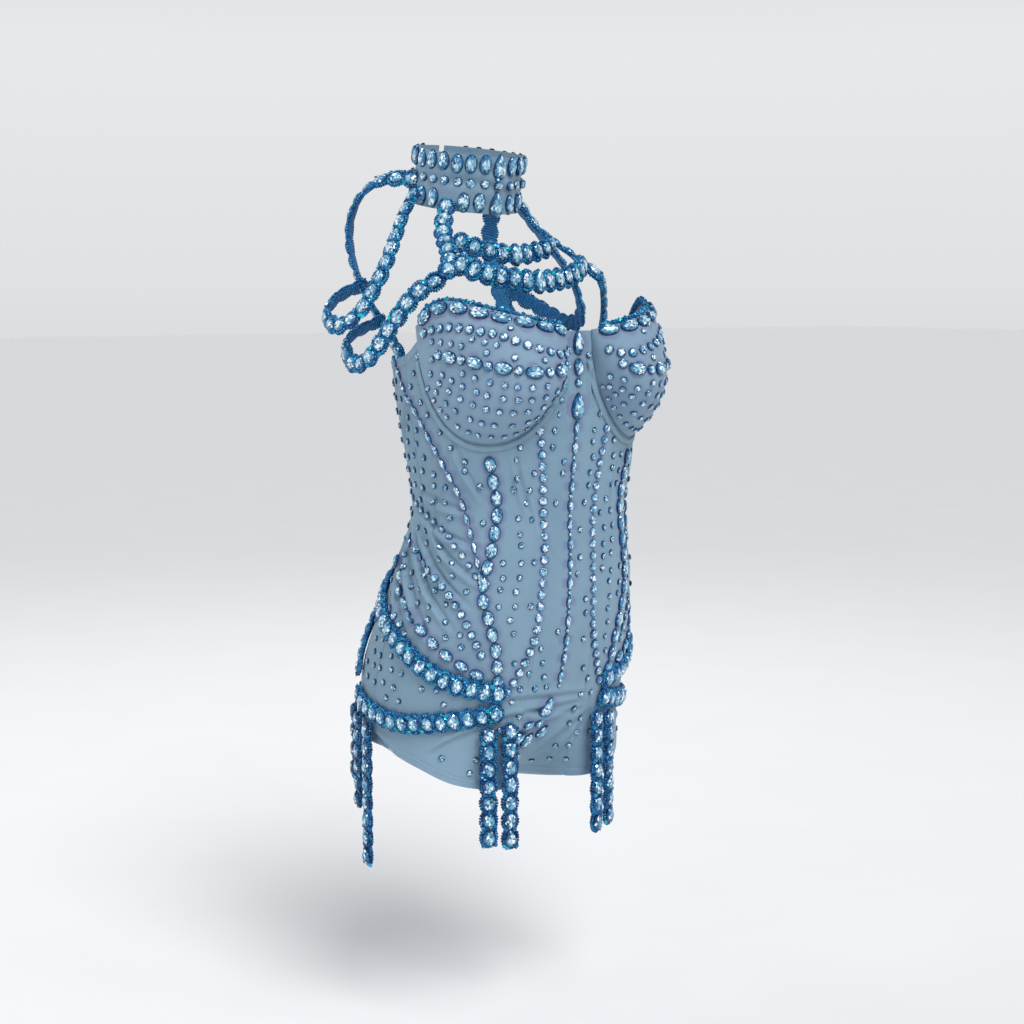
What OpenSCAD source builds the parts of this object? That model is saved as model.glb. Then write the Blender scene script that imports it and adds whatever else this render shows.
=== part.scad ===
// Show leotard: bodysuit with cups, stand collar, jewelled chains and hanging strands.
// Millimetres. +Z up, the wearer faces -Y, the origin is the centre of the waist.
// The wearer's right side is -X. Right-hand parts are drawn and the left ones mirror them.

/* [Bodysuit] */
// Thickness of the lined stretch fabric
fabric_t = 1.6; // [1:0.1:2]
// How far the cups stand forward of the chest
cup_bulge = 48; // [40:1:56]
// Thickness of the moulded cup at its middle
cup_pad = 5; // [3:0.5:6]

/* [Collar] */
// Inner radius of the stand collar
collar_r = 54; // [52:0.5:56]
// Height of the stand collar
collar_h = 58; // [50:1:60]
// Forward tilt of the collar, in degrees
collar_tilt = 10; // [6:1:12]

/* [Chains] */
// Width of the sequin braid
braid_w = 17; // [14:1:18]
// Thickness of the sequin braid
braid_t = 3; // [2:0.5:3.5]
// Spacing of the oval stones along a braid
stone_pitch = 16.5; // [15.5:0.5:20]
// Length of an oval stone
oval_l = 15; // [12:0.5:15]
// Width of an oval stone
oval_w = 11.5; // [9:0.5:12]
// Height of a stone
stone_h = 4.5; // [3:0.5:5]

/* [Strands] */
// Length of a front strand
front_strand_l = 128; // [100:1:135]
// Length of the longest side strand
side_strand_l = 150; // [120:1:155]
// Gap between a strand and the chain that it hangs from
strand_gap = 4; // [3:0.1:5]

/* [Zip] */
// Length of the zip's teeth
zip_l = 120; // [90:1:124]

/* [Hidden] */
// Body sections: height, half width, front and back distance from the waist's centre
stations = [
    [-310, 137, 50, 118], [-290, 139, 52, 137], [-245, 141, 54, 158], [-215, 143, 59, 165],
    [-185, 143, 67, 164], [-150, 140, 76, 153], [-103, 132, 83, 130], [-50, 121, 86, 104],
    [0, 115, 86, 88], [50, 121, 92, 96.6], [97, 128, 98, 104.7], [140, 131, 99, 112],
    [175, 132, 97, 118], [215, 130, 90, 136]
];
// The hollow between the legs: height, depth at the front, depth at the back
hollow = [[-310, 105, 70], [-293, 84, 52], [-270, 38, 24], [-245, 11, 8], [-200, 0, 0], [0, 0, 0]];
hollow_w = 32;
squareness = 0.9;
// Angle of the princess seam from the centre front, by height
princess = [
    [-300, 13], [-165, 13], [-103, 12.5], [-40, 12.5], [0, 13.5], [50, 15], [93, 17],
    [110, 12], [130, 8.8], [165, 7], [178, 7]
];
// Heights of the top and bottom edges, by angle from the centre front
top_line = [[81, 166], [92, 151], [110, 145], [140, 144], [165, 144], [180, 144]];
hem_line = [
    [0, -290], [13, -290], [25, -288], [45, -280], [65, -264], [92, -247], [108, -250],
    [124, -258], [140, -270], [154, -282], [167, -290], [180, -290]
];
side_seam = 92;
wire_mid = 43.5;
wire_half = 37.5;
wire_top = 165;
wire_drop = 98;
gore_top = 176;
rows = 16;
back_cols = [0, 0.18, 0.36, 0.54, 0.70, 0.852, 0.926, 1];
crotch_a = 13;
neck_y = 96;
neck_z = 332;

// The wearer's right strands first, then the left ones in the same order
strand_names = [
    "front_inner_right", "front_outer_right", "side_front_right", "side_middle_right",
    "side_back_right", "front_inner_left", "front_outer_left", "side_front_left",
    "side_middle_left", "side_back_left"
];

// ---------- plain helpers ----------
function unit(v) = v / norm(v);
function mix(a, b, t) = a + (b - a) * t;
function clamp01(t) = min(1, max(0, t));

function slope_at(r, k) =
    k == 0 ? (r[1] - r[0]) / (r[1][0] - r[0][0])
    : k == len(r) - 1 ? (r[k] - r[k - 1]) / (r[k][0] - r[k - 1][0])
    : (r[k + 1] - r[k - 1]) / (r[k + 1][0] - r[k - 1][0]);

// Smooth curve through rows whose first entry is the key
function smooth(t, r) =
    t <= r[0][0] ? r[0]
    : t >= r[len(r) - 1][0] ? r[len(r) - 1]
    : let (
        k = max([for (i = [0:len(r) - 2]) if (r[i][0] <= t) i]),
        h = r[k + 1][0] - r[k][0],
        s = (t - r[k][0]) / h
    )
    r[k] * (2 * pow(s, 3) - 3 * s * s + 1) + slope_at(r, k) * h * (pow(s, 3) - 2 * s * s + s)
    + r[k + 1] * (3 * s * s - 2 * pow(s, 3)) + slope_at(r, k + 1) * h * (pow(s, 3) - s * s);

// Smooth curve through points, n steps between each pair
function curve(p, n) =
    let (keyed = [for (i = [0:len(p) - 1]) concat([i], p[i])])
    [for (i = [0:(len(p) - 1) * n]) let (r = smooth(i / n, keyed)) [for (j = [1:len(r) - 1]) r[j]]];

// ---------- the body's surface ----------
// a is the angle from the centre front, positive towards the wearer's left
function rounded(v) = sign(v) * pow(abs(v), squareness);
function body(a, z, out = 0) =
    out == 0 ? let (
        r = smooth(z, stations),
        g = smooth(z, hollow),
        x = r[1] * rounded(sin(a)),
        mid = (r[3] - r[2]) / 2,
        half = (r[3] + r[2]) / 2,
        near = exp(-pow(x / hollow_w, 2)),
        c = cos(a)
    )
    [x, mid - half * rounded(c) + (c > 0 ? g[1] : -g[2]) * near, z]
    : body(a, z) + out * normal(a, z);
function normal(a, z) =
    unit(cross(body(a + 1, z) - body(a - 1, z), body(a, z + 2) - body(a, z - 2)));

function wire_z(a) =
    wire_top - wire_drop * sqrt(max(0, 1 - pow(abs(a - wire_mid) / wire_half, 2.2)));
function top_z(a) = a > wire_mid + wire_half ? smooth(a, top_line)[1] : wire_z(a) + 4;
function hem_z(a) = smooth(a, hem_line)[1];
function princess_a(z) = smooth(z, princess)[1];
function back_a(z) = 180 - 2.2 * clamp01((z - 6) / 8);

// ---------- sheets and sweeps ----------
// A closed solid between an outer and an inner grid of points, each m by n
function grid_faces(m, n) =
    let (w = n + 1, k = (m + 1) * w)
    concat(
        [for (i = [0:m - 1]) for (j = [0:n - 1]) let (q = i * w + j) each
            [[q, q + 1, q + w + 1], [q, q + w + 1, q + w]]],
        [for (i = [0:m - 1]) for (j = [0:n - 1]) let (q = k + i * w + j) each
            [[q, q + w + 1, q + 1], [q, q + w, q + w + 1]]],
        [for (j = [0:n - 1]) let (q = j) each [[q, q + k, q + k + 1], [q, q + k + 1, q + 1]]],
        [for (j = [0:n - 1]) let (q = m * w + j) each
            [[q, q + k + 1, q + k], [q, q + 1, q + k + 1]]],
        [for (i = [0:m - 1]) let (q = i * w) each
            [[q, q + k + w, q + k], [q, q + w, q + k + w]]],
        [for (i = [0:m - 1]) let (q = i * w + n) each
            [[q, q + k, q + k + w], [q, q + k + w, q + w]]]
    );
module sheet(outer, inner) {
    m = len(outer) - 1;
    n = len(outer[0]) - 1;
    polyhedron([each [for (r = outer) each r], each [for (r = inner) each r]], grid_faces(m, n));
}
// A panel: az is the grid of [angle, height] pairs
module panel(az) {
    sheet([for (r = az) [for (p = r) body(p[0], p[1])]],
          [for (r = az) [for (p = r) body(p[0], p[1], -fabric_t)]]);
}

function tangent(p, i) = unit(p[min(i + 1, len(p) - 1)] - p[max(i - 1, 0)]);
function across(t, n) = unit(cross(t, n));
function ring(p, t, n, w, h) =
    let (s = across(t, n), u = unit(cross(s, t)))
    [p - s * w / 2 - u * h / 2, p + s * w / 2 - u * h / 2, p + s * w / 2 + u * h / 2,
     p - s * w / 2 + u * h / 2];
// A flat strip along points p with outward normals n
module strip(p, n, w = braid_w, h = braid_t, closed = false) {
    k = len(p);
    pts = [for (i = [0:k - 1]) each
        ring(p[i], closed ? unit(p[(i + 1) % k] - p[(i + k - 1) % k]) : tangent(p, i), n[i], w, h)];
    sides = [for (i = [0:k - (closed ? 1 : 2)]) for (j = [0:3])
        let (a = i * 4 + j, b = i * 4 + (j + 1) % 4, c = ((i + 1) % k) * 4) each
        [[a, b, c + (j + 1) % 4], [a, c + (j + 1) % 4, c + j]]];
    caps = closed ? [] : [[3, 2, 1, 0], [for (j = [0:3]) (k - 1) * 4 + j]];
    polyhedron(pts, concat(sides, caps));
}

// ---------- routes ----------
// Chains on the hips, as [angle, height] pairs on the wearer's right side
upper_hip = [[23, -185], [34, -181], [48, -173], [62, -160], [76, -144], [92, -125], [108, -107],
    [124, -90], [140, -75], [156, -61], [172, -48]];
lower_hip = [[23, -204], [33, -209], [45, -213], [58, -217], [72, -219], [86, -216], [98, -210],
    [110, -201]];
side_hip = [[172, -20], [158, -37], [147, -58], [138, -84], [131, -112], [124, -142],
    [117, -168], [112, -182]];
// Straps of the neck and shoulder cage on the wearer's left side, as points
shoulder_route = [[53, 110, 330], [64, 128, 332], [77, 150, 328], [86, 172, 312], [90, 186, 284],
    [89, 182, 248], [85, 154, 204], [80, 118, 164], [79, 99, 142], [79, 95.5, 128]];
outer_route = [[59, 104, 318], [78, 98, 292], [98, 86, 262], [119, 76, 230], [138, 82, 196],
    [147, 100, 181], [148, 124, 180], [141, 148, 191], [117, 166, 208], [87, 164, 221]];
inner_route = [[45, 66, 306], [61, 50, 276], [80, 8, 246], [97, -4, 229], [116, 14, 212],
    [131, 34, 182], [141, 58, 150], [143, 88, 140], [137, 116, 156], [118, 130, 170],
    [83, 134, 184]];
upper_swag = [[-61, 30, 266], [-46, 20, 259], [-24, 13, 254], [0, 10, 251], [24, 13, 254],
    [46, 20, 259], [61, 30, 266]];
lower_swag = [[-80, 0, 243], [-58, -16, 233], [-30, -27, 227], [0, -31, 224], [30, -27, 227],
    [58, -16, 233], [80, 0, 243]];

// The cage's normals point away from a line that leans back from the waist to the neck, and on
// the wearer's front they turn forward as the shoulder does
function cage_mid(z) = [0, mix(0, neck_y, z / neck_z), z];
function cage_normal(q) =
    let (v = q - cage_mid(q[2]), forward = 0.7 * clamp01((150 - q[1]) / 100))
    unit(v + [0, -forward * norm(v), 0.25 * norm(v)]);
function cage_normals(p) = [for (q = p) cage_normal(q)];
function hip_points(route, out) = [for (r = curve(route, 2)) body(r[0], r[1], out)];
function hip_normals(route) = [for (r = curve(route, 2)) normal(r[0], r[1])];
hip_out = 1 + braid_t / 2;
module cage_chain(route) { strip(curve(route, 2), cage_normals(curve(route, 2))); }
module hip_chain(route) { strip(hip_points(route, hip_out), hip_normals(route)); }
module right_side() { mirror([1, 0, 0]) children(); }

// ---------- bodysuit ----------
module front_center_panel() {
    low = [for (j = [0:rows]) mix(hem_z(0), wire_z(17), j / rows)];
    high = [for (j = [1:5]) mix(wire_z(17), gore_top, j / 5)];
    color("lightsteelblue")
    panel([for (u = [-1, -0.5, 0, 0.5, 1]) [for (z = concat(low, high)) [u * princess_a(z), z]]]);
}
module front_side_panel() {
    cols = 8;
    bottom = [for (i = [0:cols]) mix(crotch_a, side_seam, i / cols)];
    top = [17, 25, 34, 44, 54, 64, 74, 82, side_seam];
    color("lightsteelblue")
    panel([for (i = [0:cols]) [for (j = [0:rows])
        let (
            z_top = i == 0 ? wire_z(17) : top_z(top[i]),
            z = mix(hem_z(bottom[i]), z_top, j / rows),
            share = i / cols,
            a = i == 0 ? princess_a(z)
                : i == cols ? side_seam
                : mix(mix(princess_a(z), side_seam, share), top[i], pow(j / rows, 3))
        ) [a, z]]]);
}
module back_panel() {
    color("lightsteelblue")
    panel([for (i = [0:7]) [for (j = [0:rows])
        let (
            u = back_cols[i],
            a_nominal = mix(side_seam, 180, u),
            z = mix(hem_z(a_nominal), top_z(a_nominal), j / rows)
        ) [mix(side_seam, back_a(z), u), z]]]);
}
module front_side_panel_left() front_side_panel();
module front_side_panel_right() right_side() front_side_panel();
module back_panel_left() back_panel();
module back_panel_right() right_side() back_panel();

// The gusset runs under the crotch from the front panel to the back panels
function gusset_point(u, v, out) =
    let (
        f = body(u * crotch_a, hem_z(0), out),
        b = body(180 - u * 13, hem_z(0), out),
        p = mix(f, b, v)
    )
    [p[0] * (1 - 0.12 * sin(180 * v)), p[1], p[2] - (10 + out) * sin(180 * v)];
module gusset() {
    vs = [0.01, 0.25, 0.5, 0.75, 0.99];
    us = [1, 0.5, 0, -0.5, -1];
    color("lightsteelblue")
    sheet([for (u = us) [for (v = vs) gusset_point(u, v, 0)]],
          [for (u = us) [for (v = vs) gusset_point(u, v, -fabric_t)]]);
}

// ---------- cups ----------
cup_edge = [[0, 177], [0.3, 189], [0.6, 200], [0.78, 205], [0.9, 198], [1, 180]];
function cup_top(u) = smooth(u, cup_edge)[1];
function cup_point(u, v, out) =
    let (
        a = wire_mid + wire_half * (2 * u - 1),
        low = wire_z(a),
        z = mix(low, cup_top(u), v),
        rise = v < 0.5 ? sin(90 * v / 0.5) : 1 - 0.58 * pow((v - 0.5) / 0.5, 1.7),
        bulge = cup_bulge * pow(max(0, sin(180 * pow(u, 0.82))), 0.75) * rise,
        edge = min(1, 6 * v) * min(1, 5 * min(u, 1 - u))
    )
    body(a, z, 0.6) + bulge * [-0.1, -0.985, 0] + out * mix(1.4, cup_pad, edge) * normal(a, z);
module cup() {
    n = 9;
    us = [for (i = [0:n + 2]) (1 - cos(180 * i / (n + 2))) / 2];
    color("lightsteelblue")
    sheet([for (u = us) [for (j = [0:n]) cup_point(u, j / n, 1)]],
          [for (u = us) [for (j = [0:n]) cup_point(u, j / n, 0)]]);
}
module cup_left() cup();
module cup_right() right_side() cup();

// The wire's casing follows the cup's lower edge, just outside it
module underwire() {
    turns = [for (i = [0:18]) 0.985 * sin(90 * (i / 9 - 1))];
    route = [for (t = turns) [wire_mid + (wire_half + 2.4) * t,
        wire_top - (wire_drop + 5.5) * sqrt(1 - pow(abs(t), 2.2))]];
    color("lightsteelblue")
    strip([for (r = route) body(r[0], r[1], 1.9)], [for (r = route) normal(r[0], r[1])], 6, 2.4);
}
module underwire_left() underwire();
module underwire_right() right_side() underwire();

// ---------- elastics ----------
module back_edge_elastic() {
    angles = [for (i = [0:9]) mix(84, 176, i / 9)];
    for (s = [0, 1]) mirror([s, 0, 0]) color("white")
    strip([for (a = angles) body(a, top_z(a) - 6, -fabric_t - 1.2)],
          [for (a = angles) normal(a, top_z(a) - 6)], 8, 1);
}
module leg_elastic() {
    angles = [for (i = [0:13]) mix(14, 166, i / 13)];
    edge = [for (a = angles) body(a, hem_z(a) + 5, -fabric_t - 1.3)];
    edge_n = [for (a = angles) normal(a, hem_z(a) + 5)];
    vs = [0.85, 0.6, 0.4, 0.15];
    under = [for (v = vs) gusset_point(0.86, v, -fabric_t - 1.3)];
    color("white")
    strip(concat(edge, under), concat(edge_n, [for (v = vs) [0.35, 0, -1]]), 8, 1, true);
}
module leg_elastic_left() leg_elastic();
module leg_elastic_right() right_side() leg_elastic();

// ---------- collar ----------
module in_collar() {
    translate([0, neck_y, neck_z]) rotate([collar_tilt, 0, 0]) children();
}
collar_gap = 4;
collar_stone_l = 17;
module collar_band() {
    color("lightsteelblue") in_collar() rotate([0, 0, 90 + collar_gap])
    rotate_extrude(angle = 360 - 2 * collar_gap, $fn = 96)
    translate([collar_r, -collar_h / 2]) square([2.4, collar_h]);
}
module hook_row(x, w) {
    for (z = [-20, 0, 20]) translate([x, collar_r + 0.4, z - 2.5]) cube([w, 1.2, 5]);
}
module collar_hooks() { color("silver") in_collar() hook_row(-3.2, 4.2); }
module collar_eyes() { color("silver") in_collar() hook_row(1.4, 1.8); }

// ---------- zip ----------
zip_z0 = 16;
back_y = 88;
back_slope = 24 / 140;
zip_lean = atan(back_slope);
module in_zip() {
    translate([0, back_y + zip_z0 * back_slope, zip_z0]) rotate([-zip_lean, 0, 0]) children();
}
module zip_tape() {
    color("lightsteelblue") in_zip() for (s = [-1, 1])
    translate([s * 6.5 - 6, -3.2, 0]) cube([12, 0.8, zip_l + 6]);
}
module zip_teeth() {
    color("silver") in_zip()
    for (i = [0:zip_l / 4 - 1]) translate([-1.6, -2.4, 4 * i + 1]) cube([3.2, 1.4, 2.2]);
}
slider_l = 9;
module zip_slider() {
    color("silver") in_zip() translate([0, 0, zip_l - slider_l]) {
        difference() {
            translate([-3.4, -2.2, 0]) cube([6.8, 2.8, slider_l]);
            translate([-2.1, -2.7, -1]) cube([4.2, 2.2, slider_l + 2]);
        }
        for (s = [-1, 1]) translate([s * 1.9 - 0.4, 0.59, 5]) cube([0.8, 2.2, 3]);
    }
}
// The pull hangs plumb from a pin between the slider's two ears
module zip_pull() {
    color("silver") in_zip() translate([0, 1.7, zip_l - slider_l + 6.5]) rotate([zip_lean, 0, 0]) {
        rotate([0, 90, 0]) cylinder(r = 0.7, h = 2.4, center = true, $fn = 24);
        translate([-1.1, -0.5, -16]) cube([2.2, 1, 16]);
        translate([-3, -0.5, -30]) cube([6, 1, 14.5]);
    }
}

// ---------- neck and shoulder cage ----------
module shoulder_strap_left() { color("steelblue") cage_chain(shoulder_route); }
module shoulder_strap_right() { color("steelblue") right_side() cage_chain(shoulder_route); }
module outer_strap_left() { color("steelblue") cage_chain(outer_route); }
module outer_strap_right() { color("steelblue") right_side() cage_chain(outer_route); }
module inner_strap_left() { color("steelblue") cage_chain(inner_route); }
module inner_strap_right() { color("steelblue") right_side() cage_chain(inner_route); }
module chest_swag_upper() { color("steelblue") cage_chain(upper_swag); }
module chest_swag_lower() { color("steelblue") cage_chain(lower_swag); }
module cup_braid() {
    p = [for (i = [0:12]) cup_point(mix(0.03, 0.97, i / 12), 0.97, 0) + [0, 0.8, 2]];
    n = [for (i = [0:12]) let (u = mix(0.03, 0.97, i / 12)) unit([0.35 * u, -1, 0.25])];
    color("steelblue") strip(p, n, 11, 2.4);
}
module cup_braid_left() cup_braid();
module cup_braid_right() right_side() cup_braid();

// ---------- hip chains ----------
module upper_hip_chain_left() { color("steelblue") hip_chain(upper_hip); }
module upper_hip_chain_right() { color("steelblue") right_side() hip_chain(upper_hip); }
module lower_hip_chain_left() { color("steelblue") hip_chain(lower_hip); }
module lower_hip_chain_right() { color("steelblue") right_side() hip_chain(lower_hip); }
module side_hip_chain_left() { color("steelblue") hip_chain(side_hip); }
module side_hip_chain_right() { color("steelblue") right_side() hip_chain(side_hip); }

// ---------- strands ----------
// Each row: angle on the hip and length; the left ones mirror the right ones
strand_rows = [
    [19.5, front_strand_l], [28.5, front_strand_l - 6],
    [93, side_strand_l], [103, side_strand_l - 50], [113.5, side_strand_l - 70]
];
strand_out = 5.5;
function flat_unit(v) = unit([v[0], v[1], 0]);
function strand_row(k) = strand_rows[k % 5];
function chain_z(k) = smooth(strand_row(k)[0], lower_hip)[1];
function strand_normal(k) =
    let (n = flat_unit(normal(strand_row(k)[0], chain_z(k))))
    k < 5 ? [-n[0], n[1], 0] : n;
function strand_top(k) =
    let (
        z = chain_z(k) - braid_w / 2 - strand_gap,
        p = body(strand_row(k)[0], z + 6) + strand_out * flat_unit(normal(strand_row(k)[0], z + 12))
    )
    [k < 5 ? -p[0] : p[0], p[1], z];
// Draws in the strand's own frame: origin at its top, X across, Y inwards, -Z down its length
module on_strand(k) {
    n = strand_normal(k);
    translate(strand_top(k)) rotate([0, 0, atan2(n[1], n[0]) + 90]) children();
}
function strand_stones(k) = floor((strand_row(k)[1] - 10) / stone_pitch);
// The braid's outline: one shallow lobe for each stone
function lobes(k, side) =
    [for (i = [0:strand_stones(k) - 1]) for (e = [0.05, 0.5, 0.95])
        [side * (e == 0.5 ? braid_w / 2 : braid_w / 2 - 2),
         -strand_row(k)[1] * (i + e) / strand_stones(k)]];
module strand(k) {
    right = lobes(k, 1);
    left = lobes(k, -1);
    color("steelblue") on_strand(k) rotate([90, 0, 0])
    linear_extrude(height = braid_t, center = true)
    polygon(concat(right, [for (i = [len(left) - 1:-1:0]) left[i]]));
}
module strand_stone_group(k) {
    count = strand_stones(k);
    color("lightcyan") on_strand(k)
    for (i = [0:count - 1])
        translate([0, -braid_t / 2, -strand_row(k)[1] * (i + 0.5) / count]) rotate([90, 0, 0])
        stone(oval_w, oval_l - 1.5, stone_h, i == count - 1);
}

// ---------- stones ----------
// A flat-backed stone on the XY plane with its length along Y: oval, or a drop with a point
module stone(w, l, h, drop = false) {
    n = 8;
    linear_extrude(height = h)
    polygon([for (i = [0:n - 1]) let (a = 360 / n * (i + 0.5))
        drop ? [w / 2 * cos(a) * (sin(a) > 0 ? 0.62 : 1), l / 2 * sin(a)]
        : [w / 2 * cos(a), l / 2 * sin(a)]]);
}
// Places a stone at p with its face along n and its length along t
module set_stone(p, n, t) {
    s = across(t, n);
    u = unit(cross(n, s));
    multmatrix([[s[0], u[0], n[0], p[0]], [s[1], u[1], n[1], p[1]], [s[2], u[2], n[2], p[2]]])
    children();
}
function lengths(p, i = 0, sum = 0) =
    i >= len(p) - 1 ? [sum] : concat([sum], lengths(p, i + 1, sum + norm(p[i + 1] - p[i])));
// The point at distance d along points p, whose running lengths are s
function along(p, s, d) =
    let (i = max([for (k = [0:len(p) - 2]) if (s[k] <= d) k]))
    mix(p[i], p[i + 1], clamp01((d - s[i]) / (s[i + 1] - s[i])));
// A row of stones on the outer face of a strip; length across the strip or along it
module stone_row(p, n, pitch, w, l, h, lift, lengthwise = false) {
    s = lengths(p);
    total = s[len(s) - 1];
    count = floor((total - 8) / pitch);
    step = total / count;
    for (i = [0:count - 1]) {
        d = (i + 0.5) * step;
        t = unit(along(p, s, d + 2) - along(p, s, d - 2));
        c = across(t, unit(along(n, s, d)));
        o = unit(cross(c, t));
        set_stone(along(p, s, d) + o * lift, o, lengthwise ? t : c) stone(w, l, h);
    }
}
module cage_stones(route, lengthwise = false) {
    p = curve(route, 2);
    stone_row(p, cage_normals(p), stone_pitch, oval_w, oval_l, stone_h, braid_t / 2, lengthwise);
}
module hip_stones(route) {
    stone_row(hip_points(route, hip_out), hip_normals(route), stone_pitch, oval_w, oval_l, stone_h,
              braid_t / 2);
}
module chain_stones() {
    color("lightcyan") {
        for (s = [0, 1]) mirror([s, 0, 0]) {
            cage_stones(shoulder_route, true);
            cage_stones(outer_route, true);
            cage_stones(inner_route, true);
            hip_stones(upper_hip);
            hip_stones(lower_hip);
            hip_stones(side_hip);
        }
        cage_stones(upper_swag);
        cage_stones(lower_swag);
    }
}
// Two rows of upright ovals round the collar, leaving the closing free
module collar_stones() {
    count = 20;
    color("lightcyan") in_collar()
    for (row = [-1, 1]) for (i = [0:count - 1])
        rotate([0, 0, mix(-165, 165, i / (count - 1))])
        translate([0, -collar_r - 2.4, row * (collar_h / 2 - 10)])
        rotate([90, 0, 0]) stone(oval_w, collar_stone_l, stone_h);
}
module cup_stones() {
    top = [for (i = [0:12]) cup_point(mix(0.03, 0.97, i / 12), 0.93, 1) + [0, -1, 0]];
    top_n = [for (i = [0:12]) let (u = mix(0.03, 0.97, i / 12)) unit([0.35 * u, -1, 0.25])];
    mid = [for (i = [0:12]) cup_point(mix(0.12, 0.88, i / 12), 0.5, 1) + [0, -1, 0]];
    mid_n = [for (i = [0:12]) unit([0.5 * (i / 12) + 0.05, -1, 0.1])];
    color("lightcyan") for (s = [0, 1]) mirror([s, 0, 0]) {
        stone_row(top, top_n, 24, 11, 20, stone_h, 0, true);
        stone_row(mid, mid_n, 22, 9, 14, stone_h, 0, true);
    }
}
// Stones on the bodice: the centre front line, the side front lines and the hip fans
side_front = [[43, 52], [41, 28], [39, 2], [40, -30], [42, -78], [36, -110], [30, -142], [26, -180]];
fan = [[112, -56], [96, -84], [80, -108], [64, -131], [48, -152], [34, -168]];
module bodice_row(route, pitch, w, l) {
    stone_row(hip_points(route, 0.8), hip_normals(route), pitch, w, l, stone_h - 1, 0, true);
}
module bodice_stones() {
    color("lightcyan") {
        for (s = [0, 1]) mirror([s, 0, 0]) {
            bodice_row(side_front, 18, 11, 15);
            bodice_row(fan, 19, 10, 15);
        }
        for (z = [168, 142, 124]) place_front(z) stone(11, 15, stone_h);
        place_front(98) stone(14, 24, stone_h, true);
        for (i = [0:11]) place_front(72 - 20.5 * i) stone(6, 15, stone_h - 1);
        place_front(-208) stone(11, 22, stone_h - 1, true);
    }
}
module place_front(z) { set_stone(body(0, z, 0.8), normal(0, z), [0, 0, 1]) children(); }

front_center_panel();
front_side_panel_right();
front_side_panel_left();
back_panel_right();
back_panel_left();
gusset();
cup_right();
cup_left();
underwire_right();
underwire_left();
back_edge_elastic();
leg_elastic_right();
leg_elastic_left();
collar_band();
collar_hooks();
collar_eyes();
zip_tape();
zip_teeth();
zip_slider();
zip_pull();
shoulder_strap_right();
shoulder_strap_left();
outer_strap_right();
outer_strap_left();
inner_strap_right();
inner_strap_left();
chest_swag_upper();
chest_swag_lower();
cup_braid_right();
cup_braid_left();
upper_hip_chain_right();
upper_hip_chain_left();
lower_hip_chain_right();
lower_hip_chain_left();
side_hip_chain_right();
side_hip_chain_left();
collar_stones();
cup_stones();
bodice_stones();
chain_stones();
for (k = [0:9]) {
    strand(k);
    strand_stone_group(k);
}
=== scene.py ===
# Show leotard: the finished cloth, cups, sequin braids and stones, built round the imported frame.
# Lengths are in millimetres until a mesh is made. +Z up, the wearer faces -Y, and their right side
# is -X. Angles run from the centre front, positive towards the wearer's left.
import math

import bmesh
import bpy
import numpy as np
from mathutils import Matrix, Vector
from mathutils.bvhtree import BVHTree
from mathutils.kdtree import KDTree


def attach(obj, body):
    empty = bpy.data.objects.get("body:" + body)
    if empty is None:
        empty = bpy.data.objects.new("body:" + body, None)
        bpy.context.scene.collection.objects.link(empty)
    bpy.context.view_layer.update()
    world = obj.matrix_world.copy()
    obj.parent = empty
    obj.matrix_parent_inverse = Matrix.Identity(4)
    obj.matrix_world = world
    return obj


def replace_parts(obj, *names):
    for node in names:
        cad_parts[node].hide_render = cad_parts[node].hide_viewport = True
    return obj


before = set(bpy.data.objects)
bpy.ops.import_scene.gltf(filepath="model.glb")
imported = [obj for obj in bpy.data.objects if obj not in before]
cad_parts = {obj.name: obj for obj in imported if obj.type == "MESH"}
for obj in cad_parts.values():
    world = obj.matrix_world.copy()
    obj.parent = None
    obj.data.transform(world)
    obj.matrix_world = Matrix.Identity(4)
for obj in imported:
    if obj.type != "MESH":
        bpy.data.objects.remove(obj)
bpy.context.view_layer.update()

MM = 0.001
rng = np.random.default_rng(11)

# ---------- the garment's surface, as in the CAD ----------
STATIONS = [
    (-310, 137, 50, 118), (-290, 139, 52, 137), (-245, 141, 54, 158), (-215, 143, 59, 165),
    (-185, 143, 67, 164), (-150, 140, 76, 153), (-103, 132, 83, 130), (-50, 121, 86, 104),
    (0, 115, 86, 88), (50, 121, 92, 96.6), (97, 128, 98, 104.7), (140, 131, 99, 112),
    (175, 132, 97, 118), (215, 130, 90, 136),
]
HOLLOW = [(-310, 105, 70), (-293, 84, 52), (-270, 38, 24), (-245, 11, 8), (-200, 0, 0), (0, 0, 0)]
HOLLOW_W, SQUARENESS = 32, 0.9
PRINCESS = [
    (-300, 13), (-165, 13), (-103, 12.5), (-40, 12.5), (0, 13.5), (50, 15), (93, 17), (110, 12),
    (130, 8.8), (165, 7), (178, 7),
]
TOP_LINE = [(81, 166), (92, 151), (110, 145), (140, 144), (165, 144), (180, 144)]
HEM_LINE = [
    (0, -290), (13, -290), (25, -288), (45, -280), (65, -264), (92, -247), (108, -250),
    (124, -258), (140, -270), (154, -282), (167, -290), (180, -290),
]
SIDE_SEAM, WIRE_MID, WIRE_HALF, WIRE_TOP, WIRE_DROP, GORE_TOP = 92, 43.5, 37.5, 165, 98, 176
CROTCH_A, NECK_Y, NECK_Z = 13, 96, 332
CUP_BULGE, CUP_PAD = 48, 5
FABRIC_T = 1.2
BRAID_W, BRAID_T = 17, 3
FOLD_RISE = 2.0
HEM_DEPTH = 9
ARC = 2.15  # millimetres to a degree round the body, near enough for folds


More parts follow.
